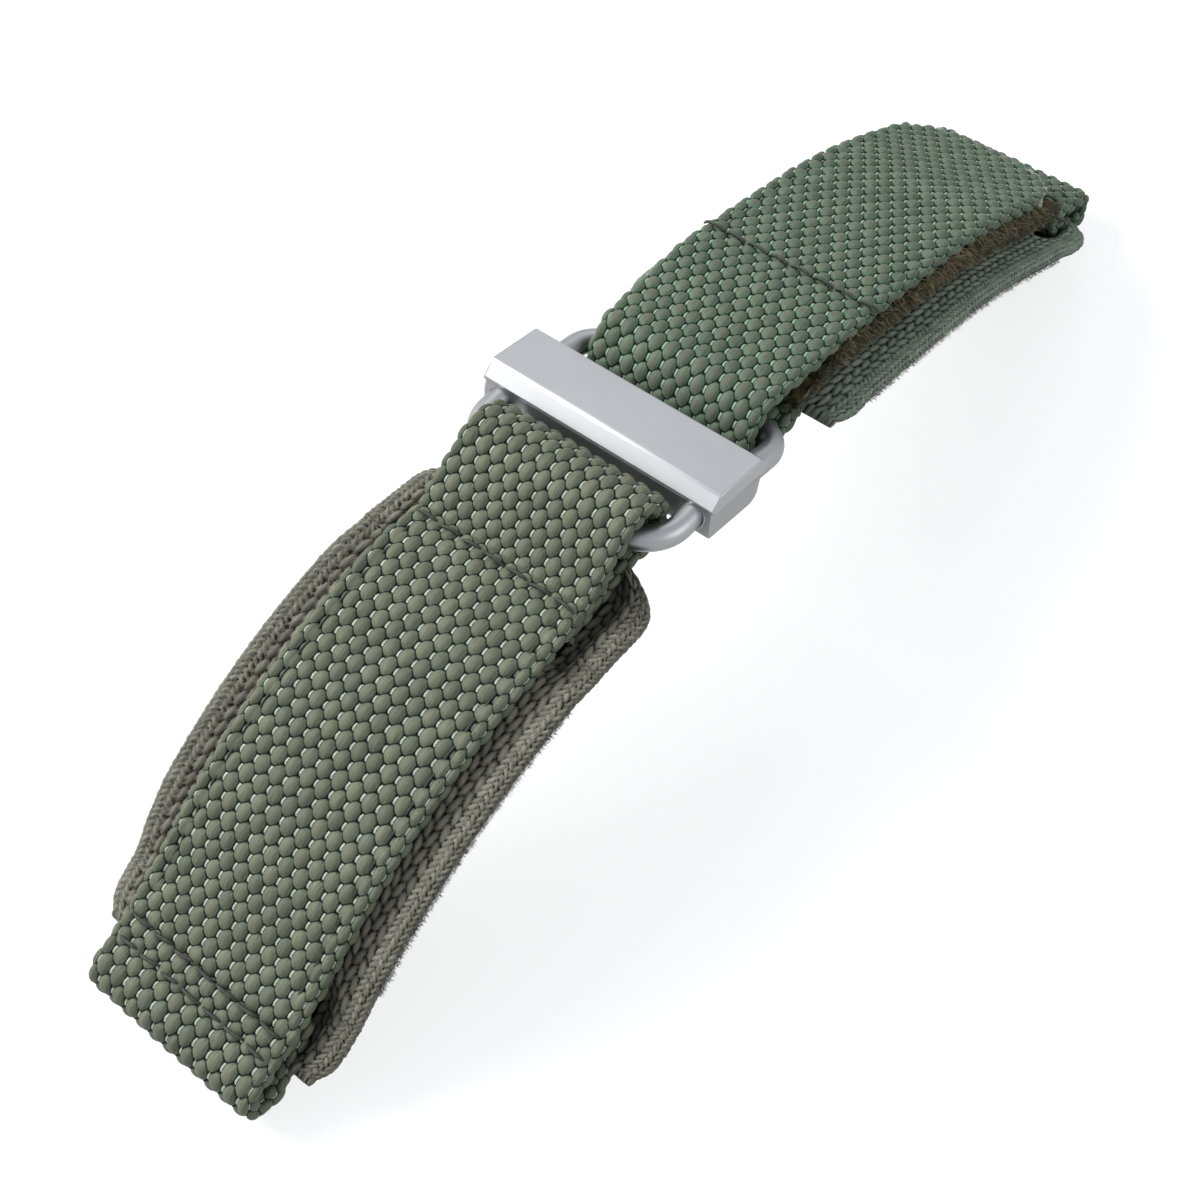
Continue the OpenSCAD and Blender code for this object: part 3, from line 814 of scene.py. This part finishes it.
# The pile and hook patch likewise: dark is painted shade in the hollows and light is painted highlight on the
# tops.
pile_look = knit_material("loop_pile_yarn", (0.26, 0.22, 0.095), (0.085, 0.072, 0.032), (0.010, 0.008, 0.005))
hook_look = knit_material("hook_tape_yarn", (0.12, 0.095, 0.05), (0.04, 0.031, 0.017), (0.007, 0.006, 0.004))
golden_look = fibre_material("golden_hairs", (0.20, 0.165, 0.08), 0.6, 600.0, 0.6, 0.05, 0.0)
dark_hair_look = fibre_material("dark_hairs", (0.062, 0.054, 0.03), 0.8, 600.0, 0.7, 0.05, 0.0)
near_hair_look = fibre_material("near_pad_hairs", (0.10, 0.095, 0.08), 0.4, 900.0, 0.8, 0.1, 0.0)
far_hair_look = fibre_material("far_pad_hairs", (0.12, 0.125, 0.10), 0.4, 900.0, 0.8, 0.1, 0.0)
near_thread_look = fibre_material("near_sewing_thread", (0.028, 0.033, 0.024), 0.7, 3000.0, 0.7, 0.0, 0.04)
far_thread_look = fibre_material("far_sewing_thread", (0.028, 0.042, 0.028), 0.6, 3000.0, 0.7, 0.0, 0.04)
# The wire and body steels are darker copies of the block's steel, as painted shade: the wire and the body's
# near face see darker surroundings.
block_look = steel_material("blasted_block_steel", (0.37, 0.373, 0.384))
shaded_wire_look = steel_material("shaded_wire_steel", (0.32, 0.322, 0.33))
shaded_body_look = steel_material("shaded_body_steel", (0.31, 0.313, 0.322))


def finish_piece(ob, material, body, slot, *nodes):
    ob.data.materials.append(material)
    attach(ob, body)
    if nodes:
        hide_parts(*nodes)


# Side profiles, as rows of (x, z, width, thickness, label). A label is the distance along the path


def waist(rod, depth):
    """The webbing's width by x, where its edges draw in round a rod."""
    return lambda x: WEB_W - 2 * depth * (1 - np.clip((x - rod[0] - WAIST_START) / WAIST_TAPER, 0, 1))


def layer_rows(path, spots, d, width, thick, labels=None):
    """A layer at height d over a path. width gives its width by x."""
    rows = []
    for s, label in zip(spots, spots if labels is None else labels):
        x, z, _ = over(path, s, d)
        rows.append((x, z, width(x), thick, label))
    return rows


def circle_tangent(centre, r, point, side):
    """Where the line from a point touches a circle, as an angle."""
    v = point - centre
    return math.degrees(math.atan2(v[1], v[0])) + side * math.degrees(math.acos(r / np.linalg.norm(v)))


def lug_rows(path, length, mid):
    """From the end of the layer at height mid round the spring bar, and back under it."""
    place = along(path, length)
    centre = above(place, mid - LUG_MID_R)
    top = place[2] + 90
    target = above(along(path, length - LUG_FREE), mid - WEB_T)
    sweep = (top - circle_tangent(centre, LUG_MID_R, target, 1)) % 360
    rows = []
    for share in np.linspace(0, 1, 41):
        x, z = centre + LUG_MID_R * heading(top - sweep * share)
        rows.append((x, z, WEB_W, WEB_T, length + 3 * share))
    back = np.linspace(length - LUG_FREE, length - LUG_RETURN, 12)
    labels = length + 4 + 0.2 * np.arange(12)
    return rows + layer_rows(path, back, mid - WEB_T, lambda x: WEB_W, WEB_T * 0.98, labels)


def near_rows():
    """From the layer turned back under the fold, round the near rod, and on to the tunnel."""
    low, high = -NEAR_RETURN_T / 2, WEB_T / 2
    back = np.linspace(NEAR_FOLD_RUN + NEAR_RETURN_L, NEAR_FOLD_RUN, 12)
    rows = layer_rows(NEAR_PATH, back, low, waist(NEAR_ROD, NEAR_LOW_WAIST), NEAR_RETURN_T, [-30] * 12)
    fold_end = along(NEAR_PATH, NEAR_FOLD_RUN)
    centre = NEAR_ROD - np.array([NEAR_FOLD_SHIFT, 0])
    first = circle_tangent(centre, NEAR_FOLD_MID_R, above(fold_end, low), -1)
    last = circle_tangent(centre, NEAR_FOLD_MID_R, above(fold_end, high), 1)
    sweep = (first - last) % 360
    for share in np.linspace(0, 1, 61):
        x, z = centre + NEAR_FOLD_MID_R * heading(first - sweep * share)
        depth = NEAR_LOW_WAIST + (NEAR_WAIST - NEAR_LOW_WAIST) * ease(1.5 * share)
        rows.append((x, z, waist(NEAR_ROD, depth)(x), WEB_T, -20 + 20 * share))
    on = np.linspace(NEAR_FOLD_RUN, NEAR_L, 600, endpoint=False)
    rows += layer_rows(NEAR_PATH, on, high, waist(NEAR_ROD, NEAR_WAIST), WEB_T)
    return rows + lug_rows(NEAR_PATH, NEAR_L, high)


def far_rows():
    on = np.linspace(0, FAR_L, 700, endpoint=False)
    return layer_rows(FAR_PATH, on, 0, waist(FAR_ROD, FAR_WAIST), WEB_T) + lug_rows(FAR_PATH, FAR_L, 0.0)


def flap_rows():
    """From under the far rod round it, and over the closure to the tip."""
    width = waist(FAR_ROD, FAR_WAIST)
    wrap = np.linspace(0, WRAP_L, 100, endpoint=False)
    labels = np.linspace(-20, -5, 100, endpoint=False)
    rows = layer_rows(WRAP_PATH, wrap, 0, width, WEB_T, labels)
    return rows + layer_rows(CLOSURE_PATH, np.linspace(0, FLAP_END, 500), FLAP_BASE + WEB_T / 2, width, WEB_T)


def flat_rows(path, s0, s1, d, width, thick):
    return layer_rows(path, np.linspace(s0, s1, 400), d, lambda x: width, thick)


# Straps of webbing


def make_near_strap():
    grooves = [Groove(NEAR_FOLD_RUN + 1, 0.55, 0.3)] + seam_grooves(32.0, 20.5, 0.22)
    grooves += [Groove(NEAR_L - gap, 0.5, 0.28) for gap in LUG_ROWS]
    relief = partial(woven, seed=3, grooves=grooves)
    strap = tube("near_strap", near_rows(), STEP, WEBBING, NEAR_STEPS, relief, mirror=True)
    finish_piece(strap, near_webbing_look, "near_half", "webbing", "near_webbing")


def make_far_strap():
    strap = tube("far_strap", far_rows(), STEP, WEBBING, FAR_STEPS, taped)
    finish_piece(strap, strap_look, "far_half", "webbing", "far_webbing")


def make_flap_strap():
    grooves = [Groove(FLAP_STITCH, 0.55, 0.32)] + seam_grooves(24.5, 18.0, 0.1)
    relief = partial(woven, seed=11, grooves=grooves)
    shape = dict(way=-1, tip=TIP_L, end_round=0.25)
    strap = tube("flap_strap", flap_rows(), STEP, WEBBING, FLAP_STEPS, relief, **shape)
    strap.data.materials.append(far_webbing_look)
    start = along(WRAP_PATH, WRAP_L - 2.2)
    end = arc_end(along(WRAP_PATH, WRAP_L), 2.0, 0)
    tuple(to_frame(start[0], 0, start[1]))
    tuple(to_frame(end[0], 0, end[1]))
    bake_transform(strap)
    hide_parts("flap_webbing")


# Pads. They dip under the layers turned back at their ends. dips are (depth, distance, way)

NEAR_DIPS = [(NEAR_RETURN_T, NEAR_FOLD_RUN + 3.8, -1), (WEB_T, NEAR_L - 8.3, 1)]
FAR_DIPS = [(WEB_T, FAR_L - 8.3, 1)]


def dip(dips, s):
    total = 0.0
    for deep, at, way in dips:
        share = 1 - ease((s - at) / DIP_RUN) if way < 0 else ease((s - at) / DIP_RUN + 1)
        total = total + deep * share
    return total


def pad_rows(path, s0, s1, top, dips, corners):
    """A pad's side profile, with its corners cut back over the given lengths."""
    ends = [(along(path, s0)[0], 1, corners[0]), (along(path, s1)[0], -1, corners[1])]

    def width(x):
        inward = sum(corner * max(0.0, 1 - way * (x - at) / corner) ** 2.6 for at, way, corner in ends)
        return PAD_W - 2 * inward

    rows = []
    for s in np.linspace(s0, s1, 400):
        rows += layer_rows(path, [s], top - dip(dips, s) - PAD_T / 2, width, PAD_T)
    return rows


def cupped(skin, dips, left, right, first, last):
    """How far a pad's margins stand up beside the webbing, where its middle dips, and its edges curl up."""
    beyond = np.abs(skin.u) - WEB_W / 2
    margin = 0.8 * dip(dips, skin.label) * ease((beyond + 0.4) / 1.6)
    edge = np.clip(beyond / (PAD_W / 2 - WEB_W / 2), 0, 1) ** 1.5
    middle = ease((skin.label - first) / 12) * (1 - ease((skin.label - last) / 12))
    return margin + edge * np.where(skin.u > 0, left, right) * middle


def make_pad(name, rows, relief, raised, mirror, look, body, node):
    pad = tube(name, rows, STEP, PAD, PAD_STEPS, relief, mirror, end_round=0.8, raised=raised)
    finish_piece(pad, look, body, "pad", node)


def make_near_pad():
    rows = pad_rows(NEAR_PATH, NEAR_PAD_START, NEAR_L - PAD_SHORT, 0, NEAR_DIPS, (5.0, 4.8))
    relief = partial(knitted, depth=0.42, seed=21)
    raised = partial(cupped, dips=NEAR_DIPS, left=1.3, right=0.2, first=4, last=42)
    make_pad("near_pad", rows, relief, raised, True, near_pad_look, "near_half", "near_base_pad")


def make_far_pad():
    rows = pad_rows(FAR_PATH, FAR_PAD_START, FAR_L - PAD_SHORT, -WEB_T / 2, FAR_DIPS, (3.8, 4.5))
    relief = partial(knitted, depth=0.38, seed=47)
    raised = partial(cupped, dips=FAR_DIPS, left=0.4, right=0.2, first=8, last=60)
    make_pad("far_pad", rows, relief, raised, False, far_pad_look, "far_half", "far_base_pad")


# Loop pile and hook patch


def make_closure():
    rows = flat_rows(FAR_PATH, RAMP, PILE_END, WEB_T / 2 + PILE_T / 2, SKIN_W, PILE_T - 0.05)
    relief = partial(lumpy, depth=0.6, scale=1.6, seed=61)
    pile = tube("loop_pile", rows, 0.25, (SKIN_W, PILE_T, SKIN_EDGE_R), (0.3, 0.4), relief)
    finish_piece(pile, pile_look, "far_half", "loop_pile", "far_loop_pile")
    rows = flat_rows(CLOSURE_PATH, FLAP_STITCH, FLAP_END - 0.4, HOOK_MID, SKIN_W, HOOK_T)
    relief = partial(lumpy, depth=0.3, scale=2.2, seed=71)
    hooks = tube("hook_patch", rows, 0.3, (SKIN_W, HOOK_T, SKIN_EDGE_R), (0.3, 0.5), relief, tip=TIP_L)
    finish_piece(hooks, hook_look, "flap", "hook_tape", "flap_hook_patch")


# Sewing


def row_places(path, s, d, width=ROW_W):
    """Stitches of a row across the strap: the place and side offset of each."""
    count = int((width - 2.2) / STITCH_PITCH) + 1
    return [(over(path, s, d), (i - (count - 1) / 2) * STITCH_PITCH) for i in range(count)]


def seam_places(path, s0, s1, d, y):
    """Stitches of a seam along the strap: the place and side offset of each."""
    count = int((s1 - s0 - 2.2) / STITCH_PITCH) + 1
    return [(over(path, s0 + 1.1 + STITCH_PITCH * i, d), y) for i in range(count)]


def sew(name, kind, places, body, look, mirror, drop=0.2, thick=0.36):
    """Thread of a row of stitching or a seam, sunk by drop. The ends of each stitch dive into the fabric."""
    t = np.linspace(-1, 1, 11)
    height = 0.10 - 0.5 * np.abs(t) ** 3.5 - drop
    paths = []
    for n, ((x, z, turn), y) in enumerate(places):
        ahead, normal = heading(turn), heading(turn + 90)
        skew = (hashed(n, len(places)) - 0.5) * 0.35 * t
        reach = STITCH_L / 2 * (0.94 + 0.12 * hashed(n, 3)) * t
        run, aside = (reach, skew * 0.5) if kind == "seam" else (skew, reach)
        xs, zs = x + ahead[0] * run + normal[0] * height, z + ahead[1] * run + normal[1] * height
        paths.append(to_frame(xs, y + aside, zs, mirror))
    radii = thick / 2 * MM * np.sqrt(np.maximum(1 - np.abs(t) ** 6 * 0.8, 0.1))
    thread = new_mesh(f"{name}_thread", *swept(paths, radii, 8, twist=9.0))
    finish_piece(thread, look, body, "thread", f"{name}_{kind}")


def make_sewing():
    near = ("near_half", near_thread_look, True)
    far = ("far_half", far_thread_look, False)
    flap = ("flap", far_thread_look, False)
    fine = (0.5, 0.22)
    flap_top = FLAP_BASE + WEB_T
    sew("near_fold", "stitching", row_places(NEAR_PATH, NEAR_FOLD_RUN + 1, WEB_T), *near)
    for label, gap in zip(("outer", "inner"), LUG_ROWS):
        sew(f"near_lug_{label}", "stitching", row_places(NEAR_PATH, NEAR_L - gap, WEB_T), *near)
        sew(f"far_lug_{label}", "stitching", row_places(FAR_PATH, FAR_L - gap, WEB_T / 2), *far)
    for label, y in (("left", SEAM_Y), ("right", -SEAM_Y)):
        places = seam_places(NEAR_PATH, NEAR_FOLD_RUN + 2.5, NEAR_L - LUG_ROWS[1] - 1, WEB_T, y)
        sew(f"near_{label}", "seam", places, *near, *fine)
        places = seam_places(CLOSURE_PATH, FLAP_STITCH + 1.5, FLAP_L - TIP_L, flap_top, y)
        sew(f"flap_{label}", "seam", places, *flap, *fine)
    sew("flap_cross", "stitching", row_places(CLOSURE_PATH, FLAP_STITCH, flap_top, WEB_W), *flap)


# Hairs of the closure and of the pads, along the strap's right edge


def tuft(name, edge, heights, sides, outward, count, length, radius, seed, look, mirror=False):
    """Fine hairs, each bent at random, along an edge: its path and span, the body it belongs to, and a slot,
    which is not used.

    They root between two heights over the path and two side offsets. outward is their way aside and up."""
    path, span, body, slot = edge
    n = np.arange(int(count * HAIR_SHARE))

    def spread(ends, k):
        return ends[0] + (ends[1] - ends[0]) * hashed(n, k, seed)

    def random_way(*keys):
        return np.stack([hashed(n, k, seed) - 0.5 for k in keys], 1) * 2

    roots, ways = [], []
    for s, d, y in zip(spread(span, 11), spread(heights, 12), spread(sides, 13)):
        x, z, turn = over(path, s, d)
        up = heading(turn + 90) * outward[1]
        roots.append((x, y, z))
        ways.append((up[0], outward[0], up[1]))
    lengths = length * (0.35 + 0.9 * hashed(n, 14, seed) ** 2)
    start, curl = np.array(ways) + random_way(1, 2, 3) * 0.45, random_way(4, 5, 6) * 0.9
    share = np.linspace(0, 1, 5)
    t = share[:, None]
    points = np.array(roots)[:, None] + lengths[:, None, None] * (start[:, None] * t + curl[:, None] * t * t)
    paths = to_frame(points[..., 0], points[..., 1], points[..., 2], mirror)
    finish_piece(new_mesh(name, *swept(paths, radius * MM * (1 - 0.65 * share), 3)), look, body, slot)


def make_hairs():
    y = -(SKIN_W / 2 - 0.1)
    hooks = (CLOSURE_PATH, (-2.0, FLAP_END - TIP_L + 2), "flap", "hook_tape")
    pile = (FAR_PATH, (RAMP * 1.2, PILE_END - 0.4), "far_half", "loop_pile")
    strap = (FAR_PATH, (FAR_PAD_START + 1, PILE_END), "far_half", "loop_pile")
    near, far, aside = (y, y - 0.3), (y - 0.1, y - 0.4), (y, y - 0.35)
    tuft("hook_hairs", hooks, (0.1, 1.3), near, (-1, -0.2), 2600, 0.6, 0.035, 4, dark_hair_look)
    tuft("hook_strands", hooks, (0.2, 1.9), aside, (-1, -0.3), 620, 0.95, 0.065, 14, golden_look)
    tuft("pile_hairs", pile, (0.9, 2.1), near, (-1, 0.25), 2400, 0.45, 0.035, 24, dark_hair_look)
    tuft("pile_strands", pile, (0.8, 2.0), near, (-1, 0.25), 500, 0.7, 0.06, 54, golden_look)
    tuft("strap_hairs", strap, (0.3, 1.2), far, (-1, -0.1), 1500, 0.4, 0.035, 34, dark_hair_look)
    sides = (-PAD_W / 2 + 0.3, -PAD_W / 2 + 0.15)
    pad = (NEAR_PATH, (NEAR_FOLD_RUN + 8, NEAR_L - 13), "near_half", "pad")
    tuft("near_pad_hairs", pad, (-1.7, -0.3), sides, (-1, -0.3), 3000, 0.22, 0.03, 45, near_hair_look, True)
    pad = (FAR_PATH, (FAR_PAD_START + 6, FAR_L - 13), "far_half", "pad")
    heights = (-WEB_T / 2 - 1.7, -WEB_T / 2 - 0.3)
    tuft("far_pad_hairs", pad, heights, sides, (-1, -0.3), 3000, 0.24, 0.03, 65, far_hair_look)


# The buckle. Its solids are (points, quads, tris, and which quads are smooth)


def bar(outline, half_width, bevel):
    """A metal bar across the strap, with round edges at both ends. outline is its profile, anticlockwise."""
    outline = np.asarray(outline, float)
    edge = np.roll(outline, -1, 0) - np.roll(outline, 1, 0)
    out = np.stack([edge[:, 1], -edge[:, 0]], 1)
    out /= np.linalg.norm(out, axis=1)[:, None]
    steps = [
        (bevel * (1 - math.cos(a)), half_width - bevel + bevel * math.sin(a))
        for a in np.radians([0, 22.5, 45, 67.5, 90])
    ]
    rings = []
    for side in (-1, 1):
        for inset, y in steps[::side]:
            q = outline - out * inset
            rings.append(to_frame(q[:, 0], side * y, q[:, 1]))
    centre = outline.mean(0)
    middles = [to_frame(centre[0], side * half_width, centre[1]) for side in (-1, 1)]
    co = np.concatenate(rings + [np.array(middles)])
    count = len(outline)
    last = (len(rings) - 1) * count
    tris = []
    for k in range(count):
        tris.append((len(co) - 2, (k + 1) % count, k))
        tris.append((len(co) - 1, last + k, last + (k + 1) % count))
    long_side = np.linalg.norm(np.roll(outline, -1, 0) - outline, axis=1) > 0.4
    smooth = np.ones((len(rings) - 1, count), bool)
    smooth[len(rings) // 2 - 1] = ~long_side
    return co, quads_of(len(rings), count), np.array(tris), smooth.ravel()


def rim(x, y, z, pitch):
    """A small round rim where a leg leaves the block's side face at (x, y, z)."""
    turns, sides = 40, 10
    round_leg, round_rim = (np.linspace(0, 2 * math.pi, n, False) for n in (turns, sides))
    a, b = np.meshgrid(round_leg, round_rim, indexing="ij")
    reach = RIM_R + RIM_T * np.cos(b)
    u, v, w = reach * np.cos(a), reach * np.sin(a), RIM_T * np.sin(b)
    c, s = heading(pitch)
    co = to_frame(x + w * c - v * s, y + u, z + w * s + v * c).reshape(-1, 3)
    i, j = np.meshgrid(np.arange(turns), np.arange(sides), indexing="ij")
    i2, j2 = (i + 1) % turns, (j + 1) % sides
    quads = np.stack([i * sides + j, i2 * sides + j, i2 * sides + j2, i * sides + j2], -1).reshape(-1, 4)
    return co, quads, np.zeros((0, 3), int), np.ones(len(quads), bool)


def joined(name, parts):
    """One mesh from several closed solids, with its faces turned outwards."""
    starts = np.cumsum([0] + [len(part[0]) for part in parts])
    co = np.concatenate([part[0] for part in parts])
    quads, tris = (np.concatenate([part[i] + start for part, start in zip(parts, starts)]) for i in (1, 2))
    smooth = np.concatenate([part[3] for part in parts] + [np.zeros(len(tris), bool)])
    ob = new_mesh(name, co, quads, tris, smooth)
    bm = bmesh.new()
    bm.from_mesh(ob.data)
    bmesh.ops.recalc_face_normals(bm, faces=bm.faces)
    bm.to_mesh(ob.data)
    bm.free()
    return ob


def wire_loop(name, reach, leg_y, corner, pitch, mirror):
    """Two legs from one of the block's long faces, joined by the rod."""
    turn = np.radians(np.linspace(0, 90, 13))
    leg = np.stack([np.linspace(-1.0, reach - corner, 8), np.full(8, leg_y)], 1)[:-1]
    arc = np.stack([reach - corner + corner * np.sin(turn), leg_y - corner + corner * np.cos(turn)], 1)
    half = np.concatenate([leg, arc])
    outline = np.concatenate([half, half[::-1] * (1, -1)])
    c, s = heading(pitch)
    path = to_frame(BLOCK_L / 2 + outline[:, 0] * c, outline[:, 1], -ROD_DEPTH - outline[:, 0] * s, mirror)
    return new_mesh(name, *swept(path[None], np.full(len(path), WIRE_R * MM), 32))


def round_corner(x, z, r, start, steps):
    turns = np.linspace(start, start + 90, steps)
    return [tuple(np.array([x, z]) + r * heading(turn)) for turn in turns]


def move_aside(ob):
    ob.data.transform(Matrix.Translation((0, BLOCK_ASIDE * MM, 0)))


def make_cap():
    far_x, near_x = BLOCK_L / 2, BLOCK_L / 2 + NEAR_OUT
    far_chamfer = ((0, CAP_FLOOR), (0, -1.35), (0.5, -0.22), (0.6, -0.06), (0.75, 0))
    near_chamfer = ((0, CAP_FLOOR), (0, -1.6), (0.9, -0.35), (1.1, -0.1), (1.35, 0))
    outline = [(far_x - back, z) for back, z in far_chamfer]
    outline += [(back - near_x, z) for back, z in reversed(near_chamfer)]
    cap = joined("cap", [bar(outline, BLOCK_HALF_W, 0.2)])
    move_aside(cap)
    finish_piece(cap, block_look, "buckle", "steel", "buckle_cap")


def make_body():
    near_x, far_x = -BLOCK_L / 2 - NEAR_OUT + 0.05, BLOCK_L / 2 - 0.5
    outline = round_corner(near_x + 0.3, BODY_FLOOR + 0.3, 0.3, 180, 8)
    outline += round_corner(far_x - 1.4, BODY_FLOOR + 1.4, 1.4, 270, 14)
    outline += [(far_x, CAP_FLOOR), (near_x, CAP_FLOOR)]
    rims = [rim(near_x, side * NEAR_LEG_Y, -ROD_DEPTH, -NEAR_PITCH) for side in (-1, 1)]
    rims += [rim(far_x, side * FAR_LEG_Y - BLOCK_ASIDE, -ROD_DEPTH, 0) for side in (-1, 1)]
    body = joined("body", [bar(outline, BLOCK_HALF_W - 0.05, 0.22)] + rims)
    move_aside(body)
    finish_piece(body, shaded_body_look, "buckle", "steel", "buckle_body")


def make_wires():
    near_wire = wire_loop("near_wire", NEAR_REACH, NEAR_LEG_Y, NEAR_CORNER, NEAR_PITCH, True)
    move_aside(near_wire)
    finish_piece(near_wire, shaded_wire_look, "buckle", "steel", "near_bail")
    far_wire = wire_loop("far_wire", FAR_REACH, FAR_LEG_Y, FAR_CORNER, 0, False)
    finish_piece(far_wire, shaded_wire_look, "buckle", "steel", "far_bail")


# Camera, floor and light, in metres


def look_from(location, target):
    return (Vector(target) - Vector(location)).to_track_quat("-Z", "Y").to_euler()


def set_camera():
    """The photograph's camera, which was solved in the block's frame."""
    data = bpy.data.cameras.new("camera")
    data.sensor_fit = "HORIZONTAL"
    data.sensor_width = 36.0
    data.lens = 50.0507
    data.clip_start = 0.005
    data.clip_end = 10
    camera = bpy.data.objects.new("camera", data)
    turn = Euler([math.radians(a) for a in (43.2430, -4.8798, -51.0582)]).to_matrix().to_4x4()
    place = Matrix.Translation((-0.1033408, -0.0688172, 0.1039158)) @ turn
    block_place = Matrix.Translation((LIFT[0] * MM, 0, LIFT[1] * MM)) @ Matrix.Rotation(TILT, 4, "Y")
    camera.matrix_world = block_place @ place
    bpy.context.scene.collection.objects.link(camera)
    bpy.context.scene.camera = camera
    bpy.context.scene.view_settings.view_transform = "Standard"


def make_floor():
    """A floor that keeps the shadow and shows as white."""
    mesh = bpy.data.meshes.new("floor")
    mesh.from_pydata([(-3, -3, 0), (3, -3, 0), (3, 3, 0), (-3, 3, 0)], [], [(0, 1, 2, 3)])
    floor = bpy.data.objects.new("floor", mesh)
    bpy.context.scene.collection.objects.link(floor)
    look = bpy.data.materials.new("white_floor")
    look.use_nodes = True
    look.node_tree.nodes.clear()
    g = Graph(look.node_tree)
    diffuse = g.add("BsdfDiffuse", {"Color": (0.28, 0.288, 0.292, 1)})
    level = g.calc("MULTIPLY", g.background_rays(), 0.78)
    glow = g.add("Emission", {"Color": (1, 1, 1, 1), "Strength": level})
    both = g.add("AddShader", {0: diffuse.outputs[0], 1: glow.outputs[0]})
    g.add("OutputMaterial", {0: both.outputs[0]})
    floor.data.materials.append(look)


def set_world():
    """Soft even light, and a white background."""
    world = bpy.data.worlds.new("studio")
    bpy.context.scene.world = world
    world.use_nodes = True
    g = Graph(world.node_tree)
    level = g.calc("MULTIPLY_ADD", g.background_rays(), 0.56, 0.44)
    g.set(g.nodes["Background"], {"Color": (0.93, 0.97, 1.0, 1), "Strength": level})


def area_light(name, location, target, size, power, color):
    data = bpy.data.lights.new(name, "AREA")
    data.shape = "RECTANGLE"
    data.size, data.size_y = size
    data.energy = power
    data.color = color
    lamp = bpy.data.objects.new(name, data)
    lamp.location = location
    lamp.rotation_euler = look_from(location, target)
    bpy.context.scene.collection.objects.link(lamp)


def set_lamps():
    area_light("key_lamp", (-0.17, 0.42, 0.37), (0, 0, 0.01), (0.28, 0.22), 4.0, (1.0, 0.99, 0.97))
    area_light("top_lamp", (0.36, 0.26, 0.50), (0, 0, 0.02), (0.25, 0.25), 0.4, (1.0, 1.0, 1.0))
    area_light("left_lamp", (-0.45, 0.26, 0.37), (-0.02, 0, 0.02), (0.30, 0.25), 0.31, (0.97, 0.99, 1.0))
    area_light("fill_lamp", (0.10, -0.5, 0.30), (0, 0, 0.01), (0.4, 0.3), 1.0, (0.97, 0.99, 1.0))


make_near_strap()
make_far_strap()
make_flap_strap()
make_near_pad()
make_far_pad()
make_closure()
make_sewing()
make_hairs()
make_cap()
make_body()
make_wires()
set_camera()
make_floor()
set_world()
set_lamps()
